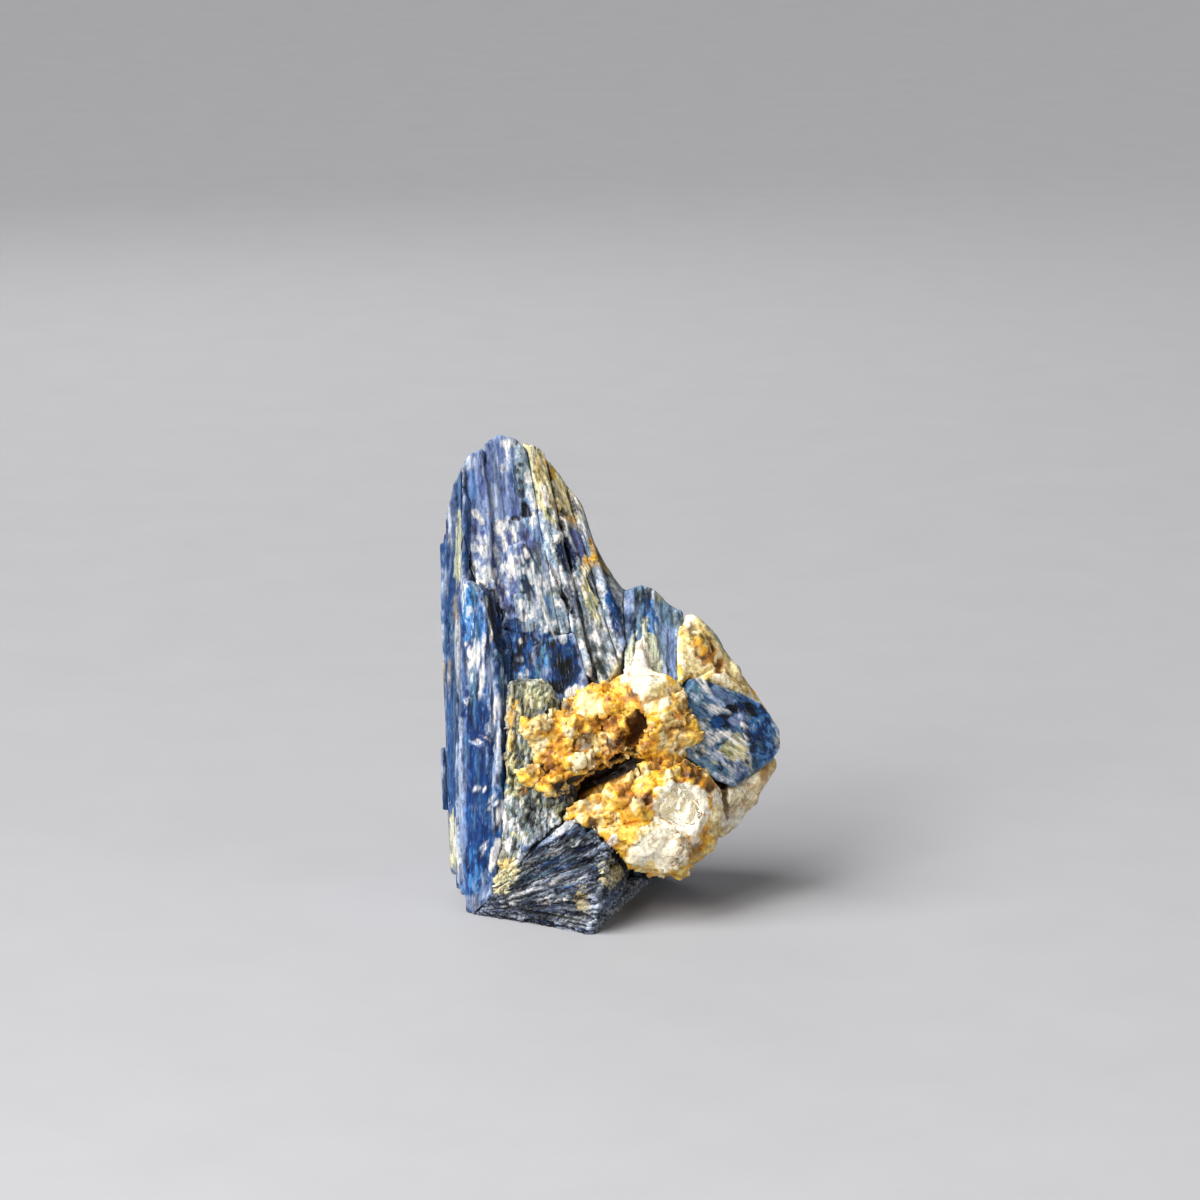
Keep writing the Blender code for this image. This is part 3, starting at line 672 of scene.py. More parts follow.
def grow_kyanite(name, node, voxel, seed, grain, wide, long, proud, tones, mottled, worn, gaps, zones,
                 marks, shader):
    """Dresses a kyanite node: two sizes of lath, worn edges, painted shade in cracks and grooves, marks, and
    fine lines along the grain.

    mottled is how much the tones mix inside a lath, worn how pale the edges are, and gaps how dark the
    painted shade in the cracks is, which also deepens the painted shade in the grooves."""
    surface = Surface(name, node, voxel)
    surface.lift(GROWTH)
    lines = grain(surface.rest)
    surface.tint(next(iter(tones)), 1.0)
    crack = broken_to_laths(surface, lines, wide, long, proud, tones, seed)
    broken_to_laths(surface, lines, wide * FINE_WIDE, long * FINE_LONG, proud * FINE_PROUD, tones, seed + 20,
                    strength=0.35)
    streaky = fractal(lines / STREAK_SIZE, 4, seed + 40)
    surface.mottle(lines / FLECK_SIZE, seed + 60)
    shade = ranked(streaky + fractal(surface.rest / 5.0, 2, seed + 80) * 0.5)
    surface.tint(by_weight(tones, shade), mottled)
    surface.tint(by_weight(tones, surface.rank), mottled * 0.8)
    # painted shade: the cracks between laths are blackened
    surface.tint("black", crack * gaps)
    surface.lift(streaky * 0.05 + (surface.rank - 0.5) * 0.08)
    surface.lay_zones(zones, seed + 70)
    surface.lay(marks)
    patchy = smooth(fractal(surface.rest / 2.2, 3, seed + 90), -0.2, 0.5)
    bend = surface.bend()
    surface.tint("pale_blue", smooth(bend, *WORN_EDGE) * worn * patchy)
    # painted shade: the grooves are blackened where shade falls in them
    surface.tint("black", smooth(-bend, *SHADED_GROOVE) * (0.35 + 0.6 * gaps))
    surface.matt = 0.15 + 0.7 * smooth(surface.paint.mean(axis=1), 0.2, 0.6)
    write_grain(surface.mesh, lines)
    surface.finish(node, shader)


BROAD_MARKS = mark_list(
    ("pale_blue", 470, 463, 6, 8, 20, 0.8),
    ("bright_blue", 472, 488, 6, 22, 0, 0.35),
    ("violet", 484, 478, 2.6, 27, -2, 0.9, -0.15),
    ("violets", 489, 527, 9, 24, 0, 0.95),
    ("violets", 478, 531, 10, 14, 0, 0.8),
    ("violets", 488, 562, 8, 12, 0, 0.9),
    ("white", 477, 516, 8, 3, 125, 0.9, 0.1),
    ("pale_grey", 477, 549, 7, 5, 0, 0.7, 0.1),
    ("slates", 508, 530, 11, 13, 20, 0.8),
    ("frost", 508, 550, 15, 30, 14, 0.9),
    ("frost", 486, 584, 13, 22, 24, 0.9),
    ("frost", 484, 550, 14, 7, 100, 0.8),
    ("greys", 543, 590, 22, 48, 15, 0.92),
    ("teals", 528, 520, 5, 26, 24, 0.8),
    ("speckles", 524, 575, 12, 22, 12, 0.7),
    ("violets", 527, 545, 8, 15, 10, 0.85),
    ("chalk", 513, 570, 11, 11, 25, 0.75, 0.12),
    ("frost", 507, 541, 8, 11, 10, 0.6),
    ("white", 480, 587, 6, 5, 30, 0.9, 0.1),
    ("chalk", 507, 446, 5, 8, 15, 0.8),
    ("speckles", 515, 466, 9, 27, 12, 0.85),
    ("greys", 524, 468, 8, 34, 14, 0.85),
    ("chalk", 530, 484, 6, 34, 14, 0.9, 0.1),
    ("speckles", 531, 512, 6, 14, 14, 0.8),
    ("navy", 521, 465, 3, 3, 0, 0.8, -0.3),
    ("navy", 523, 494, 3, 4, 0, 0.7, -0.2),
    ("teal", 527, 486, 3, 5, 0, 0.6),
    ("white", 504, 469, 5, 4, 0, 0.4),
    ("black", 526, 511, 4.5, 6, 20, 0.95, -0.7),
    ("black", 515, 519.5, 4.5, 2, 0, 0.9, -0.4),
    ("violets", 508, 597, 9, 22, 12, 0.9, -0.1),
    ("chalk", 521, 602, 7, 9.5, 8, 0.95, 0.2),
    ("frost", 524, 622, 6, 14, 5, 0.7),
    ("night", 512, 633, 26, 16, 0, 0.95),
    ("night", 516, 662, 32, 24, 0, 0.98),
    ("cobalts", 528, 645, 5.5, 9, 0, 0.9),
    ("cobalts", 506, 668, 7, 7, 0, 0.8),
    ("brights", 521, 672, 7, 6, 0, 0.8),
    ("pale_blue", 520, 659, 3.5, 2.5, 0, 0.8, 0.1),
    ("grey_violet", 537, 657, 4.5, 9, 0, 0.75, 0.1),
    ("pale_grey", 527, 626, 6, 6, 0, 0.4),
    # From here to the two black streaks: painted shade on the shadowed facet beside the left blades, and a
    # painted shadow along the broad blade's left edge
    ("teal", 496, 656, 3, 16, 20, 0.6),
    ("inks", 492, 608, 9, 22, 24, 0.95, -0.3),
    ("inks", 496, 640, 8, 26, 10, 0.9, -0.2),
    ("teals", 500, 650, 3, 22, 18, 0.7),
    ("black", 465, 500, 1.6, 34, -2, 0.9, -0.2),
    ("black", 469, 556, 2.4, 26, 10, 0.9, -0.2),
    ("night", 560, 662, 19, 32, 8, 1.0),
    ("inks", 564, 666, 13, 26, 12, 0.85),
    ("violets", 547, 674, 6, 10, 0, 0.8),
    ("slates", 582, 699, 9, 14, 20, 0.85),
    ("chalk", 574, 692, 10, 6, 0, 0.95, 0.12),
    ("chalk", 562, 632, 12, 3, 100, 0.9, 0.1),
    *hatching(1, 26, 543, 585, 16, 48, 21, "white teal slate_dark pale_grey grey_violet navy"),
    *hatching(2, 20, 497, 480, 26, 30, 4, "slate_dark pale_blue violet grey_violet", share=0.5),
    *hatching(3, 40, 506, 558, 24, 38, 25, "white pale_grey purple pale_grey plum", 1.8, 3.2),
    *hatching(4, 34, 524, 658, 30, 24, 5, "bright_blue white black cobalt black teal", 1.4, 3.5),
)

LEFT_MARKS = mark_list(
    ("cream_green", 459, 548, 3.2, 36, 0, 0.9, 0.1),
    ("tan", 457, 618, 2, 22, 0, 0.35),
    ("pale_grey", 459, 652, 2.5, 32, 0, 0.7),
    ("navy", 452, 667, 4, 6, 0, 0.6),
    ("black", 445.5, 758, 1.0, 12, 4, 0.95, -0.3),
    ("black", 447.5, 790, 1.0, 16, 4, 0.95, -0.3),
    ("straws", 454, 844, 6, 30, 6, 0.8),
    ("brights", 467, 612, 6, 30, 0, 0.9),
    ("brights", 479, 612, 8, 28, 0, 0.7),
    ("cobalts", 484, 630, 6, 30, 4, 0.85),
    ("frost", 474, 668, 7, 34, 2, 0.9),
    ("cobalts", 484, 676, 4, 17, 0, 0.95),
    ("chalk", 476, 706, 10, 12, 0, 0.95, 0.12),
    ("pale_blue", 493, 690, 4, 34, 6, 0.5),
    ("cobalts", 480, 792, 20, 104, 0, 0.97),
    ("deeps", 479, 795, 15, 98, 0, 0.9),
    ("deep_blue", 478, 800, 14, 100, 0, 0.5),
    ("pale_blue", 461, 812, 2.6, 98, 0, 0.6, 0.1),
    ("slate", 465, 812, 2, 90, 0, 0.6),
    ("slates", 494, 717, 7, 26, 0, 0.8),
    ("pale_blue", 497, 765, 3, 30, -2, 0.7, 0.08),
    ("white", 504, 811, 3, 11, 5, 0.9, 0.1),
    *hatching(20, 5, 481, 741, 6, 5, 60, "white pink pale_blue", 0.9, 3.5, 0.9),
    *hatching(21, 5, 482, 786, 6, 7, -30, "white pale_blue", 0.9, 4, 0.9),
    *hatching(22, 7, 491, 803, 7, 4, -40, "white white pale_blue", 1.2, 4, 0.95),
    ("inks", 494, 822, 5, 16, -8, 0.95),
    *hatching(23, 5, 485, 846, 5, 6, -35, "white pale_blue", 0.9, 4, 0.8),
    ("cobalts", 474, 880, 13, 34, 0, 0.6),
    ("white", 494, 856, 3.5, 16, -10, 0.9, 0.1),
    ("grey_violet", 473, 904, 7, 8, 0, 0.5),
    # painted shade on the shadowed facet beside the broad blade
    ("inks", 494, 622, 8, 36, 8, 1.0, -0.2),
    ("teals", 499, 668, 5, 20, 10, 0.8),
    ("slates", 485, 885, 5, 16, -6, 0.6),
    *hatching(5, 34, 478, 650, 14, 66, 1, "white teal navy bright_blue deep_blue navy cobalt"),
    *hatching(6, 12, 480, 790, 14, 80, 0, "deep_blue navy bright_blue teal", 1.2, 16, 0.4),
    *hatching(7, 14, 497, 760, 6, 70, -1, "white navy pale_blue slate_dark", 1.2, 9),
    *hatching(8, 18, 452, 590, 8, 90, 0, "slate teal navy pale_blue tan", 1.0, 12, 0.6),
)

FLANK_MARKS = mark_list(
    ("greys", 532, 480, 8, 40, 16, 0.9),
    ("straws", 554, 480, 28, 50, 28, 1.0),
    # milks here are partly painted light on a face that turns right and up into shade
    ("milks", 560, 488, 18, 40, 30, 0.55),
    ("olive", 540, 462, 7, 14, 20, 0.5),
    ("creams", 545, 466, 8, 16, 25, 0.85),
    ("yellow", 560, 494, 9, 13, 30, 0.3),
    ("olive_dark", 553, 486, 1.2, 26, 30, 0.7),
    ("rust", 560, 512, 1.6, 20, 46, 0.7),
    ("gold", 574, 522, 3, 20, 42, 0.7),
    ("rust", 578, 526, 2, 16, 36, 0.6),
    ("gold", 594, 552, 5, 20, 30, 0.7),
    ("olive_dark", 606, 568, 4, 22, 32, 0.6),
    ("dark_grey", 550, 511, 3.5, 4, 0, 0.8, -0.3),
    ("dark_grey", 565, 512, 6, 3.5, 120, 0.8, -0.3),
    ("dark_grey", 560, 527, 4.5, 6, 20, 0.8, -0.3),
    ("teals", 540, 536, 10, 26, 20, 0.85),
    ("white", 556, 535, 3.6, 7, 15, 0.95, 0.2),
    ("teals", 546, 550, 5, 20, 24, 0.9),
    ("teal", 541, 524, 3, 10, 20, 0.6),
    ("inks", 567, 554, 7.5, 18, 16, 0.98, -0.15),
    ("violets", 578, 545, 7.5, 14, 22, 0.9),
    ("creams", 586, 565, 10, 7, 60, 0.9, 0.15),
    ("straws", 588, 596, 6.5, 27, 16, 0.95, 0.15),
    ("black", 591, 586, 1.8, 12, 26, 0.9, -0.4),
    ("greys", 600, 588, 7, 20, 26, 0.8),
    ("deeps", 615, 620, 4.2, 32, 16, 0.98, 0.15),
    ("cobalt", 609, 602, 2.6, 12, 18, 0.8),
    ("pale_blue", 604, 612, 2.5, 24, 17, 0.6),
    ("chalk", 568, 578, 5, 34, 22, 0.9, 0.12),
    ("white", 574, 592, 2, 20, 20, 0.7, 0.1),
    ("black", 560, 587, 1.8, 32, 22, 0.95, -0.5),
    ("black", 568, 607, 3, 11, 24, 0.9, -0.5),
    ("greys", 550, 608, 15, 28, 14, 0.8),
    ("chalk", 562, 620, 9, 13, 10, 0.8),
    ("greys", 597, 652, 22, 30, 14, 0.8),
    ("white", 590, 660, 5, 10, 0, 0.85, 0.2),
    ("white", 615, 651, 3, 8, 40, 0.85, 0.15),
    ("ashes", 601, 674, 11, 10, 30, 0.9, -0.2),
    ("ashes", 586, 640, 4, 8, 20, 0.8),
    ("bones", 617, 676, 8, 16, -8, 0.9, 0.1),
    *hatching(9, 34, 570, 565, 30, 60, 22, "white black teal pale_blue navy pale_grey"),
    *hatching(10, 26, 585, 640, 30, 36, 16, "white white dark_grey pale_grey teal", 1.3, 7),
    *hatching(11, 12, 556, 480, 20, 40, 26, "olive white cream grey_green", 0.9, 8, 0.5),
    ("navy", 567, 555, 8.5, 18, 16, 1.0, -0.15),
    ("deep_blue", 565, 547, 5, 9, 16, 0.6),
    ("purple", 578, 545, 6, 13, 22, 0.95),
    ("chalk", 557, 536, 4, 8, 15, 0.9, 0.2),
    # chalk here is partly painted light against the shade on this right-facing part
    ("chalk", 600, 626, 6, 40, 16, 0.7),
    ("straws", 588, 596, 6, 27, 16, 0.9, 0.1),
    ("creams", 586, 565, 9, 7, 60, 0.85, 0.1),
    ("pale_blue", 604, 586, 4, 18, 26, 0.8),
    # greys here are partly painted light against the shade on this right-facing part
    ("greys", 594, 655, 18, 28, 14, 0.7),
    ("deeps", 616, 620, 5.5, 34, 16, 1.0, 0.1),
    ("cobalt", 614, 610, 3, 20, 16, 0.7),
)

SHOULDER_MARKS = mark_list(
    ("ashes", 650, 594, 28, 8, 20, 0.85),
    ("olive", 662, 594, 10, 5, 60, 0.5),
    ("slates", 629, 612, 8, 22, 0, 0.9),
    ("teals", 640, 640, 14, 30, 6, 0.5),
    ("teals", 637, 622, 7, 11, 0, 0.85),
    ("brights", 650, 622, 9, 22, 8, 0.85),
    ("bright_blue", 655, 636, 5, 22, 10, 0.6),
    ("steel", 660, 656, 8, 28, 10, 0.7),
    ("slate", 671, 654, 6.5, 28, 6, 0.85),
    ("slate_dark", 676, 660, 3, 20, 6, 0.6),
    ("olive_dark", 676, 620, 5, 10, 30, 0.5),
    *hatching(12, 9, 652, 635, 24, 34, 6, "white teal slate_dark pale_blue", 1.2, 9),
    ("lime", 645, 634, 3.5, 16, 4, 0.8, 0.1),
    ("cream_green", 629, 664, 6, 28, -12, 0.85, 0.1),
    ("cream_green", 653, 660, 7, 40, 14, 0.9, 0.1),
    ("snow", 646, 664, 6, 32, 14, 0.95, 0.2),
    ("snow", 634, 668, 5, 24, -14, 0.95, 0.2),
)

RIGHT_MARKS = mark_list(
    ("teals", 714, 694, 22, 24, 45, 0.95),
    ("slate", 722, 700, 9, 16, 50, 0.5),
    ("speckles", 729, 754, 24, 24, 30, 0.9),
    ("brights", 762, 727, 19, 28, 20, 1.0),
    ("cobalts", 764, 748, 14, 16, 30, 0.9),
    ("inks", 732, 716, 27, 10, 20, 1.0),
    ("violets", 738, 720, 11, 6, 20, 0.8),
    ("cobalt", 716, 722, 6, 5, 20, 0.8),
    ("inks", 748, 734, 4, 14, 20, 0.9),
    ("straws", 733, 748, 17, 12, 35, 0.95, 0.1),
    ("milk", 741, 758, 4, 12, 45, 0.9, 0.1),
    ("teals", 714, 764, 9, 12, 25, 0.97),
    ("slates", 735, 770, 14, 8, 30, 0.8),
    ("greys", 701, 736, 9, 20, 0, 0.95),
    ("chalk", 713, 709, 15, 3, -20, 0.9, 0.1),
    ("chalk", 720, 736, 10, 4, 25, 0.85, 0.1),
    ("white", 702, 685, 1.6, 10, 35, 0.95, 0.1),
    ("white", 707, 687, 1.4, 9, 35, 0.9, 0.1),
    ("greys", 777, 744, 4, 13, 15, 0.9),
    *hatching(13, 30, 735, 740, 44, 36, 40, "pale_grey white teal cobalt cream navy", 1.4, 3.5, 0.9),
)

BASE_MARKS = mark_list(
    ("slates", 556, 837, 7, 29, 118, 0.95, 0.15),
    ("chalk", 566, 829, 4, 15, 118, 0.8, 0.1),
    ("black", 562, 843, 2.6, 19, 116, 0.95, -0.4),
    ("greys", 556, 850, 4, 29, 112, 0.9, 0.1),
    ("inks", 568, 866, 14, 46, 108, 0.97),
    ("slates", 580, 857, 2.6, 24, 112, 0.85, 0.12),
    ("black", 556, 872, 2.6, 44, 106, 0.9, -0.3),
    ("chalk", 527, 892, 2, 26, 108, 0.9, 0.15),
    ("chalk", 556, 898, 4, 14, 110, 0.85, 0.1),
    ("black", 540, 886, 2, 34, 104, 0.8, -0.3),
    ("bones", 584, 902, 17, 8, 100, 0.6),
    ("inks", 540, 917, 11, 58, 82, 0.8),
    ("black", 540, 914, 1.6, 54, 82, 0.8, -0.25),
    ("black", 552, 926, 1.6, 44, 80, 0.8, -0.25),
    ("inks", 588, 925, 9, 8, 0, 0.9),
    ("slates", 618, 906, 16, 32, 128, 0.85),
    ("slates", 640, 890, 9, 24, 128, 0.7),
    ("olive_dark", 520, 872, 5, 18, 125, 0.6),
    ("straws", 611, 875, 17, 11, 120, 0.9),
    # greys, pale blue and white on the right end face are partly its own pale tone and partly painted light,
    # as the face lies in shade
    ("greys", 628, 902, 14, 50, -48, 0.8),
    ("pale_blue", 628, 902, 8, 50, -48, 0.8),
    ("white", 634, 896, 3, 34, -48, 0.7, 0.1),
    # black streaks are painted shade between the thin sheets, and the white streaks are partly painted
    # glints
    *hatching(14, 60, 555, 872, 56, 24, 20, "black navy", 11, 1.2, 0.95, 0.1),
    *hatching(15, 20, 555, 872, 56, 26, 20, "white teal steel cobalt", 9, 0.9, 0.85, 0.1),
    # these streaks on the right end face are partly painted light, as the face lies in shade
    *hatching(18, 26, 618, 905, 18, 26, -40, "pale_blue white steel slate_dark pale_grey", 1.6, 9),
    *hatching(16, 26, 545, 915, 60, 10, -8, "black black navy pale_grey cream_green", 11, 0.9, 0.9, 0.1),
    ("black", 545, 885, 54, 44, -20, 0.35),
    ("straws", 503, 876, 12, 20, -40, 0.95, 0.1),
    ("cream", 505, 872, 7, 14, -40, 0.7, 0.1),
    ("cream", 610, 876, 8, 13, -50, 0.75, 0.1),
    ("black", 556, 842, 1.8, 24, -62, 0.9, -0.3),
)

MICA_MARKS = mark_list(
    ("straws", 539, 693, 15, 14, 8, 0.85),
    ("cream_green", 545, 690, 6, 9, 5, 0.7, 0.15),
    ("black", 522, 706, 1.6, 12, 8, 0.9, -0.4),
    ("creams", 511, 712, 9, 15, 0, 0.85),
    ("rust", 511, 713, 4, 4, 0, 0.4, -0.1),
    ("creams", 508, 745, 8, 24, 0, 0.9, 0.1),
    ("yellow", 512, 738, 5, 12, 0, 0.5),
    ("ashes", 520, 756, 5, 24, 10, 0.8),
    ("black", 537, 766, 7, 9, 0, 0.8, -0.4),
    # painted shade: black where the dark slot runs across the mica
    ("black", 570, 790, 12, 10, 30, 0.95),
    ("ashes", 538, 785, 20, 18, 10, 0.8),
    ("straws", 512, 778, 7, 18, 5, 0.8),
    ("olive", 516, 772, 6, 14, 5, 0.5),
    ("lime", 534, 786, 3, 13, 0, 0.6),
    ("rust", 524, 791, 3.5, 5, 0, 0.7),
    ("greys", 512, 826, 9, 30, 0, 0.85),
    ("greys", 534, 826, 24, 30, 0, 0.75),
    ("ashes", 532, 818, 6, 12, 0, 0.85, -0.2),
    ("cobalt", 526, 848, 4.5, 4, 0, 0.85),
    ("creams", 501, 875, 11, 20, 25, 0.95, 0.15),
    ("yellow", 508, 864, 8, 6, 30, 0.6),
    ("olive", 520, 866, 8, 6, 40, 0.7),
    *hatching(17, 90, 535, 800, 36, 80, 20, "black white olive cream dark_grey teal", 1.7, 3.6),
    ("white", 505, 812, 2.4, 18, 8, 0.9, 0.1),
)


def grow_crystals():
    """Every kyanite node, and the mica, whose flakes are laid in the same way."""
    grow_kyanite(
        "broad_crystal", "broad_blade", voxel=0.17, seed=100,
        grain=straight_grain((-0.10, 0.22, 1.0)), wide=3.2, long=26.0, proud=0.10,
        tones=dict(plum=0.4, violet=2, slate_dark=2, slate=7, grey_violet=1, pale_blue=0.6),
        mottled=0.45, worn=0.5, gaps=0.2, zones=BLUE_ZONES, marks=BROAD_MARKS,
        shader=kyanite_shader("violet_kyanite", contrast=0.30, fibre_share=0.25, polish=0.30),
    )
    grow_kyanite(
        "left_crystals", "left_blades", voxel=0.23, seed=200,
        grain=straight_grain((0.02, 0.10, 1.0)), wide=2.4, long=30.0, proud=0.14,
        tones=dict(navy=1.5, deep_blue=3, cobalt=4, slate_dark=3, teal=1, slate=1),
        mottled=0.2, worn=0.6, gaps=0.3, zones=BLUE_ZONES, marks=LEFT_MARKS,
        shader=kyanite_shader("cobalt_kyanite", contrast=0.30, fibre_share=0.2, polish=0.28),
    )
    grow_kyanite(
        "flank_crystals", "flank_blades", voxel=0.19, seed=300,
        grain=fanned_grain(pivot_x=-15.4, pivot_z=86.5, reach=38.0), wide=0.9, long=14.0, proud=0.12,
        tones=dict(black=0.3, dark_grey=0.4, teal=1.6, steel=3, grey_violet=2, pale_grey=7, white=6),
        mottled=0.35, worn=0.5, gaps=0.1, zones=GREY_ZONES, marks=FLANK_MARKS,
        shader=kyanite_shader("grey_kyanite", contrast=0.35, fibre_share=0.35, polish=0.36),
    )
    grow_kyanite(
        "shoulder_crystals", "shoulder_blades", voxel=0.19, seed=400,
        grain=straight_grain((0.0, 0.3, 1.0)), wide=2.0, long=16.0, proud=0.11,
        tones=dict(slate_dark=1, teal=3, steel=3, slate=3, pale_blue=2),
        mottled=0.35, worn=0.4, gaps=0.1, zones=GREY_ZONES, marks=SHOULDER_MARKS,
        shader=kyanite_shader("blue_grey_kyanite", contrast=0.33, fibre_share=0.3, polish=0.34),
    )
    grow_kyanite(
        "right_crystal", "right_blade", voxel=0.19, seed=500,
        grain=straight_grain((0.75, 0.35, -0.65), (0.65, 0, 0.75)), wide=2.2, long=10.0, proud=0.08,
        tones=dict(navy=1, deep_blue=1.5, cobalt=2, slate_dark=2, teal=4, steel=3),
        mottled=0.45, worn=0.5, gaps=0.1, zones=BLUE_ZONES, marks=RIGHT_MARKS,
        shader=kyanite_shader("right_kyanite", contrast=0.33, fibre_share=0.25, polish=0.26),
    )
    grow_kyanite(
        "base_crystals", "base_blades", voxel=0.20, seed=600,
        grain=fanned_grain(pivot_x=-22.2, pivot_z=0.1, reach=24.0), wide=0.6, long=9.0, proud=0.26,
        tones=dict(black=9, navy=7, dark_grey=1, slate_dark=1.6, steel=0.6, pale_grey=0.3),
        mottled=0.08, worn=0.5, gaps=0.8, zones=DARK_ZONES, marks=BASE_MARKS,
        shader=kyanite_shader("dark_kyanite", contrast=0.42, fibre_share=0.25, polish=0.30),
    )
    grow_kyanite(
        "back_crystals", "back_blades", voxel=0.34, seed=700,
        grain=straight_grain((0.03, -0.12, 1.0)), wide=2.6, long=26.0, proud=0.16,
        tones=dict(navy=1.5, deep_blue=1, cobalt=2, slate_dark=3, teal=1, slate=3, steel=2, pale_grey=1),
        mottled=0.45, worn=0.6, gaps=0.4, zones=BLUE_ZONES, marks=[],
        shader=kyanite_shader("blue_kyanite", contrast=0.33, fibre_share=0.3, polish=0.30),
    )
    grow_kyanite(
        "mica_flakes", "mica_plates", voxel=0.19, seed=800,
        grain=straight_grain((0.15, 0.12, 1.0)), wide=1.1, long=3.2, proud=0.30,
        tones=dict(black=1.2, dark_grey=2, olive_dark=2, grey_green=3, olive=3, cream_green=2, cream=1,
                   white=0.7),
        mottled=0.35, worn=0.5, gaps=0.5, zones=GREY_ZONES, marks=MICA_MARKS,
        shader=kyanite_shader("mica", contrast=0.35, fibre_share=0.3, polish=0.34),
    )


# ---------------------------------------------------------------- quartz

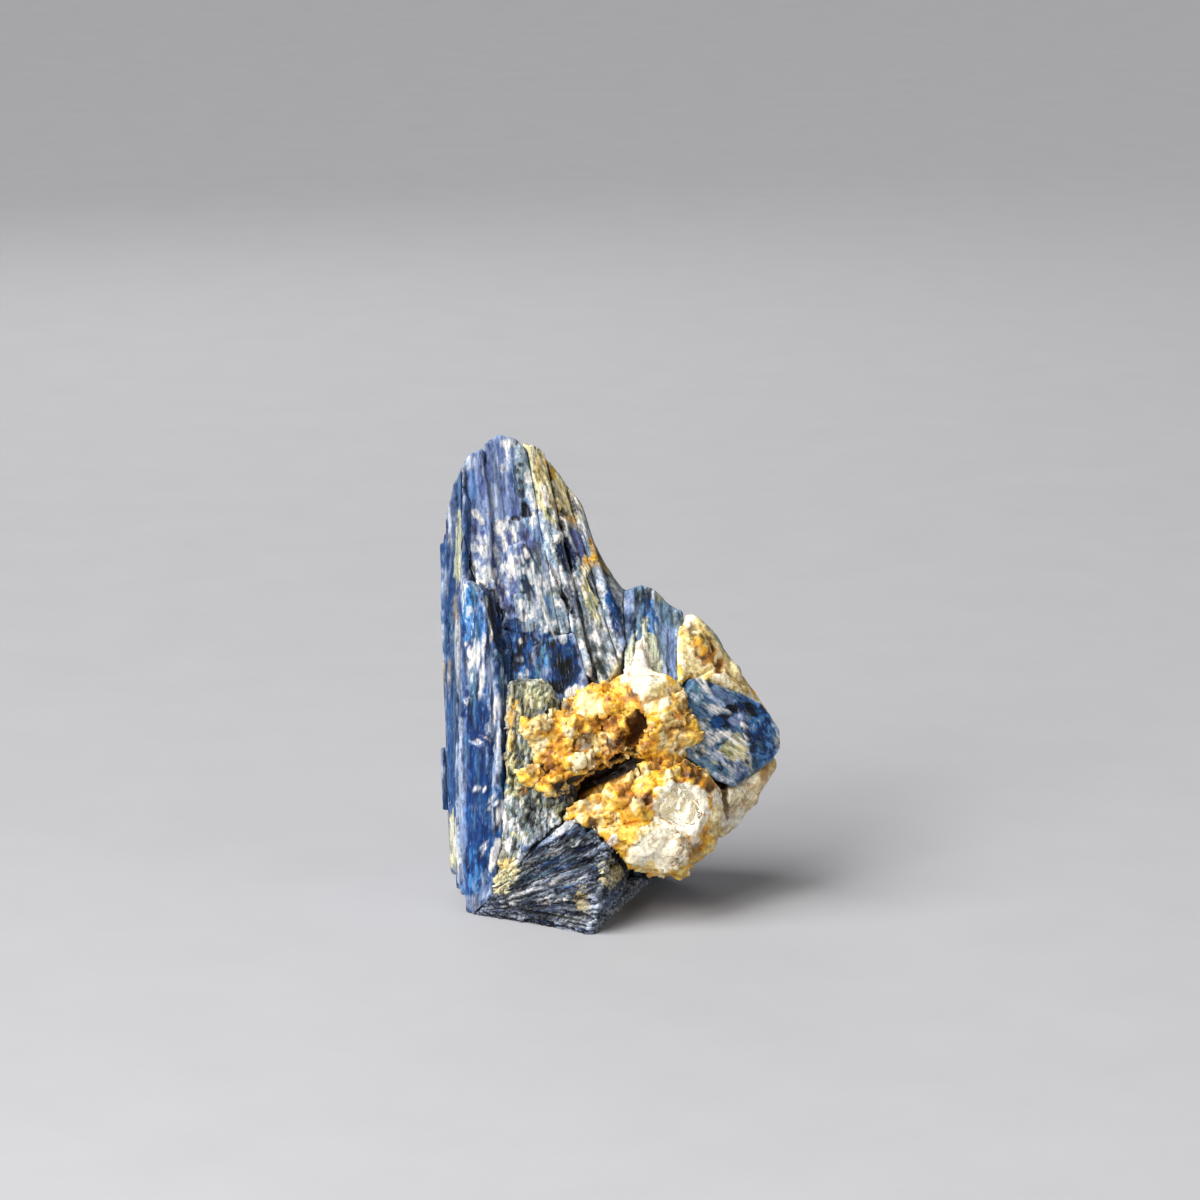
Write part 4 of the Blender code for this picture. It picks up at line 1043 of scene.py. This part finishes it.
QUARTZ_MARKS = mark_list(
    # right ridge above the blue blade
    ("bones", 708, 656, 28, 56, 42, 0.9),
    ("milks", 687, 657, 9, 34, 12, 0.9),
    ("straws", 689, 618, 13, 9, 50, 0.8),
    ("olive_dark", 693, 631, 4, 8, 15, 0.85, -0.3),
    ("grey_green", 721, 645, 2.6, 32, 38, 0.8),
    ("oranges", 705, 655, 12, 9, 60, 0.85),
    ("brown", 719, 667, 6, 5, 60, 0.9, -0.3),
    ("milks", 724, 685, 7, 54, 54, 0.95),
    ("rusts", 707, 655, 10, 7, 60, 0.9),
    ("gold", 699, 645, 6, 8, 40, 0.7),
    ("umbers", 719, 667, 9, 5, 60, 1.0, -0.4),
    ("grey_green", 722, 640, 3, 40, 38, 0.7),
    ("yellow", 683, 640, 5, 14, 0, 0.5),
    ("tans", 686, 695, 10, 22, 0, 0.85),
    ("brown", 689, 718, 3, 8, 0, 0.8, -0.2),
    # white wedge and the upper lobe
    ("milks", 636, 690, 16, 13, 60, 0.9),
    ("snow", 643, 668, 24, 30, 8, 1.0),
    ("white", 640, 656, 8, 15, 0, 0.8),
    ("milks", 656, 698, 16, 17, 0, 0.95, 0.2),
    ("oranges", 620, 709, 24, 24, 0, 0.95),
    ("golds", 612, 700, 12, 13, 0, 0.85),
    ("yellow", 628, 711, 7, 6, 20, 0.8, 0.3),
    ("rust", 672, 697, 1.6, 16, 35, 0.7, -0.15),
    ("golds", 652, 726, 14, 16, 0, 0.95, 0.2),
    ("gold", 656, 720, 8, 18, 0, 0.6),
    ("tans", 674, 738, 15, 28, 0, 0.85),
    ("milk", 671, 748, 4, 6, 0, 0.8, 0.2),
    ("golds", 663, 773, 24, 19, 0, 0.9),
    ("rust", 612, 728, 12, 8, 0, 0.5),
    # the pit: its umber is partly iron stain and partly painted shade, and the black is a painted shadow in
    # the hole
    ("umbers", 636, 730, 10, 20, -8, 1.0, -1.3),
    ("umber", 638, 726, 8, 18, -8, 0.95, -0.4),
    ("black", 640, 722, 3, 12, -8, 0.8, -0.2),
    ("umbers", 621, 741, 12, 7, 80, 0.95, -0.7),
    ("cream", 606, 739, 5, 6, 0, 0.9, 0.4),
    ("gold", 624, 726, 5, 5, 0, 0.7, 0.4),
    ("oranges", 637, 749, 14, 8, 80, 0.9),
    ("rusts", 613, 758, 20, 11, 100, 0.9, -0.1),
    ("umbers", 692, 774, 16, 12, 60, 0.9, -0.3),
    ("umber", 690, 768, 8, 4, 50, 0.8, -0.3),
    # grey patch and the left lobe
    ("bones", 589, 707, 15, 14, 30, 0.7),
    ("grey_green", 566, 706, 14, 6, 80, 0.7),
    ("ashes", 562, 707, 16, 6, 75, 0.85, -0.2),
    ("golds", 562, 744, 38, 36, 0, 0.9),
    ("oranges", 575, 740, 14, 22, 20, 0.6),
    ("straws", 537, 720, 9, 14, 10, 0.6),
    ("rust", 545, 765, 9, 6, 60, 0.5),
    ("creams", 535, 744, 10, 17, 10, 0.8),
    ("milk", 548, 717, 4, 6, 20, 0.9, 0.3),
    ("oranges", 554, 732, 10, 9, 0, 0.85),
    ("milk", 568, 731, 5, 5, 0, 0.9, 0.3),
    ("rust", 560, 754, 3, 14, 0, 0.6, -0.15),
    ("milk", 583, 759, 10, 8, 0, 1.0, 0.35),
    ("grey_green", 586, 741, 11, 7, 60, 0.6),
    ("brown", 590, 738, 6, 4, 60, 0.5, -0.2),
    ("oranges", 556, 776, 14, 12, 0, 0.85),
    ("umber", 531, 768, 6, 8, 0, 0.7, -0.3),
    ("rust", 574, 746, 4, 4, 0, 0.5),
    # the lower lobe
    ("tans", 590, 820, 24, 14, 60, 0.85),
    ("creams", 603, 793, 4, 45, 119, 0.8, 0.15),
    ("brown", 588, 806, 8, 4, 100, 0.5, -0.15),
    ("oranges", 646, 801, 12, 10, 0, 0.9),
    ("oranges", 683, 788, 22, 11, 80, 0.9),
    ("rusts", 711, 790, 11, 13, 0, 0.9, -0.1),
    ("oranges", 646, 814, 9, 13, 0, 0.7),
    ("golds", 622, 806, 22, 14, 110, 0.85),
    ("milk", 635, 806, 8, 5, 90, 0.5, 0.2),
    ("milks", 654, 848, 28, 22, 60, 0.95, 0.2),
    ("milks", 666, 846, 20, 18, 0, 0.6),
    # snow here is partly the milky quartz and partly painted light, where little light falls
    ("snow", 662, 850, 26, 20, 0, 0.85),
    ("golds", 650, 870, 15, 8, 90, 0.7),
    ("snow", 693, 837, 8, 5, 90, 1.0, 0.3),
    ("milk", 717, 814, 6, 6, 0, 0.8, 0.3),
    ("golds", 709, 836, 12, 21, 0, 0.9),
    ("olive_dark", 695, 847, 5, 5, 0, 0.75, -0.3),
    ("brown", 676, 829, 10, 2, 90, 0.7, -0.2),
    ("tans", 700, 862, 14, 8, 70, 0.85),
    ("creams", 619, 870, 22, 16, 0, 0.85),
    ("umbers", 632, 879, 11, 8, 60, 0.85, -0.3),
    # painted highlight: a white glint, raised a little
    ("white", 613, 839, 5, 4, 45, 0.9, 0.3),
    # painted shadow: a short dark band painted umber
    ("umbers", 592, 835, 16, 5, 85, 0.85, -0.3),
    # right ridge below the blue blade
    # milks and pale grey here are partly the ridge's own cream and partly painted light, as the ridge faces
    # down and away from the lamps
    ("milks", 745, 794, 24, 54, -38, 0.95),
    ("pale_grey", 748, 802, 13, 38, -38, 0.3),
    ("tan", 768, 767, 6, 10, -38, 0.7),
    ("rust", 764, 774, 3, 8, -10, 0.6),
    ("brown", 725, 798, 3.4, 17, 5, 0.9, -0.3),
)

# Where the quartz is smooth and carries no loose grains
CALM_PLACES = mark_list(
    ("cream", 716, 658, 46, 92, 42),
    ("cream", 641, 658, 30, 38),
    ("cream", 650, 688, 30, 34),
    ("cream", 748, 796, 46, 84, -38),
    ("cream", 590, 706, 16, 14, 30),
    ("cream", 682, 809, 30, 26),
    ("cream", 655, 848, 26, 18, 60),
)

# The socket behind the clear grain, painted snow-white and cream: painted light that brightens what is seen
# through the grain
SOCKET_MARKS = mark_list(("snow", 680, 809, 29, 25, 0, 1.0), ("cream", 668, 802, 10, 10, 0, 0.6))

# Broad patches on the sides that the front view doesn't show
QUARTZ_ZONES = [("milks", 4.0, 0.10), ("oranges", 3.0, 0.15), ("bones", 5.0, 0.25)]

QUARTZ_TONES = dict(rust=1.4, orange=2.4, gold=7, yellow=5, cream=1.2, milk=0.7)

# The dark slot under the upper lobe, painted umber and black as shade: its ends, half its width and its soft
# rim, in pixels of the front view, and its depth
SLOT_FROM, SLOT_TO = np.array((553, 798)), np.array((642, 753))
SLOT_HALF = 12.0
SLOT_RIM, SLOT_END_RIM = 3.0, 8.0
SLOT_DEPTH = 0.5


def grow_quartz(shader):
    """The stained quartz: facets, marks, stains and painted shade in the hollows, and a crust of loose
    grains.
    """
    surface = Surface("quartz_rock", "quartz_matrix", voxel=0.25)
    surface.mottle(surface.rest / 0.9, 960)
    calm = np.max([surface.covered(mark, front_only=False) for mark in CALM_PLACES], axis=0)
    surface.relax(calm * 0.9, rounds=22)
    surface.lift(GROWTH + calm * 0.1)
    break_quartz(surface, calm)
    surface.lay_zones(QUARTZ_ZONES, 990)
    surface.lay(QUARTZ_MARKS)
    stain_seams(surface)
    slot = in_slot(surface)
    surface.lift(-SLOT_DEPTH * slot)
    stain_and_shade_hollows(surface, slot)
    surface.finish("quartz_matrix", shader)
    scatter_grains(surface, np.flatnonzero(slot + calm < 0.4), shader)


def break_quartz(surface, calm):
    """Facets of three sizes, shallow where the quartz is calm, and tones that follow them."""
    rough = 1.0 - 0.85 * calm
    coarse = broken_to_facets(surface, size=2.6, proud=0.38 * rough, seed=900)
    middling = broken_to_facets(surface, size=1.1, proud=0.19 * rough, seed=920)
    broken_to_facets(surface, size=0.55, proud=0.08 * rough, seed=940)
    surface.tint(by_weight(QUARTZ_TONES, coarse), 1.0)
    surface.tint(by_weight(QUARTZ_TONES, middling), 0.5)
    surface.tint(by_weight(QUARTZ_TONES, surface.rank), 0.4)


def stain_seams(surface):
    """Rust in the thin seams between grains, in patches."""
    gap = nearest_cells(surface.rest / 1.7 + surface.wave[:, :1] * 0.3, 970)[1]
    patchy = smooth(fractal(surface.rest / 3.0, 2, 980), -0.3, 0.4)
    surface.tint("rust", (1 - smooth(gap, 0.02, 0.14)) * patchy * 0.7)


def in_slot(surface):
    """How far inside the dark slot each point is, from 0 to 1."""
    run = SLOT_TO - SLOT_FROM
    length = np.linalg.norm(run)
    right, down = (surface.seen - SLOT_FROM).T
    along = (right * run[0] + down * run[1]) / length
    across = np.abs(right * run[1] - down * run[0]) / length
    inside = smooth(SLOT_HALF + surface.wave[:, 0] * 3 - across, 0.0, SLOT_RIM)
    ends = smooth(along, 0, SLOT_END_RIM) * smooth(length - along, 0, SLOT_END_RIM)
    return inside * (ends * surface.front)


def stain_and_shade_hollows(surface, slot):
    """Rust in the hollows, brown in the deeper ones that is partly iron stain and partly painted shade,
    cream on the edges, umber and black painted as shade in the slot, the socket painted light, and hollows
    left matt.
    """
    bend = surface.bend(4)
    surface.tint("rust", smooth(-bend, 0.04, 0.16) * 0.5)
    # painted shade, partly iron stain: the deeper hollows are browned
    surface.tint("brown", smooth(-bend, 0.14, 0.35) * 0.6)
    surface.tint("milk", smooth(bend, 0.08, 0.3) * 0.1)
    # painted shade: the slot is painted umber and black
    surface.tint("umber", slot * 0.97)
    surface.tint("black", smooth(slot, 0.6, 1.0) * 0.7)
    # painted light: the socket behind the clear grain is painted bright
    surface.lay(SOCKET_MARKS)
    surface.matt = 0.1 + 0.4 * smooth(-bend, 0.0, 0.2)


GRAINS = 2200
GRAIN_SHAPES = 14
GRAIN_POINTS = 11
GRAIN_RADIUS = 0.22
GRAIN_SPREAD = 0.42  # of the logarithm of the radius
GRAIN_SUNK = 0.6  # how deep a grain's middle lies, in radii
MILKY_GRAINS = 0.08  # this share of them


def grain_shapes(rng):
    """Angular convex grains with a radius of about 1, as (points, triangles)."""
    shapes = []
    for _ in range(GRAIN_SHAPES):
        mesh = bmesh.new()
        for point in rng.normal(size=(GRAIN_POINTS, 3)):
            mesh.verts.new(point / np.linalg.norm(point) * rng.uniform(0.8, 1.1))
        bmesh.ops.convex_hull(mesh, input=mesh.verts)
        mesh.verts.index_update()
        points = np.array([vertex.co[:] for vertex in mesh.verts])
        triangles = np.array([[vertex.index for vertex in face.verts] for face in mesh.faces])
        mesh.free()
        shapes.append((points, triangles))
    return shapes


def turned(rng, count):
    """Random rotations, as (count, 3, 3)."""
    quaternion = rng.normal(size=(count, 4))
    quaternion /= np.linalg.norm(quaternion, axis=1)[:, None]
    w, x, y, z = quaternion.T
    rows = [
        [1 - 2 * (y * y + z * z), 2 * (x * y - z * w), 2 * (x * z + y * w)],
        [2 * (x * y + z * w), 1 - 2 * (x * x + z * z), 2 * (y * z - x * w)],
        [2 * (x * z - y * w), 2 * (y * z + x * w), 1 - 2 * (x * x + y * y)],
    ]
    return np.array(rows).transpose(2, 0, 1)


def grain_paint(surface, where, rng):
    """A tone for each grain: the rock's tone under it, a little lighter or darker, and some milky."""
    tone = surface.paint[where] * rng.uniform(0.8, 1.1, size=(len(where), 1))
    milky = rng.random((len(where), 1)) < MILKY_GRAINS
    tone = np.where(milky, tone * 0.5 + linear("milk") * 0.5, tone)
    return np.clip(tone, 0, 0.95)


def scatter_grains(surface, allowed, shader):
    """Loose quartz grains, each more than half sunk in the rock, joined in one mesh."""
    rng = np.random.default_rng(7)
    shapes = grain_shapes(rng)
    spots = rng.choice(allowed, size=GRAINS // 1, replace=False)
    radii = GRAIN_RADIUS * np.exp(rng.normal(0.0, GRAIN_SPREAD, size=len(spots)))
    kinds = np.arange(len(spots)) % GRAIN_SHAPES
    places, triangles, paint, total = [], [], [], 0
    for kind, (points, faces) in enumerate(shapes):
        where, radius = spots[kinds == kind], radii[kinds == kind]
        size = radius[:, None, None] * rng.uniform(0.7, 1.3, size=(len(where), 1, 3))
        shaped = np.einsum("nij,npj->npi", turned(rng, len(where)), points[None] * size)
        middle = surface.places[where] - surface.normals[where] * radius[:, None] * GRAIN_SUNK
        starts = total + np.arange(len(where)) * len(points)
        places.append((shaped + middle[:, None]).reshape(-1, 3))
        triangles.append((faces[None] + starts[:, None, None]).reshape(-1, 3))
        paint.append(np.repeat(grain_paint(surface, where, rng), len(points), axis=0))
        total += len(where) * len(points)
    mesh = bpy.data.meshes.new("quartz_grains")
    mesh.from_pydata(inside_box(np.concatenate(places)) * MM, [], np.concatenate(triangles).tolist())
    write_paint(mesh, np.concatenate(paint), np.full(total, 0.05))
    mesh.materials.append(shader)
    hand_over(new_object("quartz_grains", mesh))


def grow_clear_quartz():
    """The clear grain: large facets and a slightly wavy skin."""
    surface = Surface("clear_quartz_grain", "clear_quartz", voxel=0.18)
    broken_to_facets(surface, size=2.2, proud=0.5, seed=980)
    surface.lift(fractal(surface.rest / 1.5, 2, 990) * 0.05)
    surface.finish("clear_quartz", clear_shader())
    surface.object.visible_shadow = False  # its socket is lit through it


# ---------------------------------------------------------------- stage

FLOOR_HALF = 4.0  # metres


def make_camera():
    camera = new_object("camera", bpy.data.cameras.new("camera"))
    camera.location = Vector(CAMERA_AT) * MM
    camera.rotation_euler = (math.pi / 2 - CAMERA_PITCH, 0.0, 0.0)
    camera.data.sensor_width = SENSOR_MM
    camera.data.lens = FOCAL_PIXELS / FRAME_PIXELS * SENSOR_MM
    camera.data.clip_start = 0.05
    bpy.context.scene.camera = camera


def turn_lamp(lamp, way):
    lamp.rotation_euler = way.to_track_quat("-Z", "Y").to_euler()


def make_light(name, place, size, watts, colour=(1.0, 1.0, 1.0)):
    """A square softbox at a place in metres, turned to the middle of the cluster."""
    lamp = new_object(name, bpy.data.lights.new(name, "AREA"))
    lamp.data.size = size
    lamp.data.energy = watts
    lamp.data.color = colour
    lamp.location = place
    turn_lamp(lamp, Vector((0, 0, 0.03)) - lamp.location)


def make_overhead(way, spread, strength):
    """A broad overhead softbox, far away, so that it lights the floor evenly."""
    lamp = new_object("overhead", bpy.data.lights.new("overhead", "SUN"))
    lamp.data.energy = strength
    lamp.data.angle = math.radians(spread)
    turn_lamp(lamp, Vector(way))


def make_floor():
    corners = [(x * FLOOR_HALF, y * FLOOR_HALF, 0) for x, y in ((-1, -1), (1, -1), (1, 1), (-1, 1))]
    mesh = bpy.data.meshes.new("floor")
    mesh.from_pydata(corners, [], [(0, 1, 2, 3)])
    mesh.materials.append(floor_shader())
    floor = new_object("floor", mesh)


def make_world(colour, strength):
    world = bpy.data.worlds.new("studio")
    world.use_nodes = True
    background = world.node_tree.nodes["Background"]
    background.inputs["Color"].default_value = (*colour, 1.0)
    background.inputs["Strength"].default_value = strength
    bpy.context.scene.world = world
    bpy.context.scene.view_settings.view_transform = "Standard"


make_camera()
make_world(colour=(0.95, 0.97, 1.0), strength=0.10)
make_floor()
make_overhead(way=(0.56, 0.18, -0.79), spread=40, strength=3.5)
make_light("front", place=(-0.32, -0.42, 0.34), size=0.30, watts=3.5, colour=(1.0, 0.985, 0.96))
make_light("side", place=(0.42, -0.30, 0.30), size=0.30, watts=0.5, colour=(0.95, 0.97, 1.0))
make_light("back", place=(-0.15, 0.55, 0.35), size=0.35, watts=0.7)

grow_crystals()
grow_quartz(quartz_shader())
grow_clear_quartz()
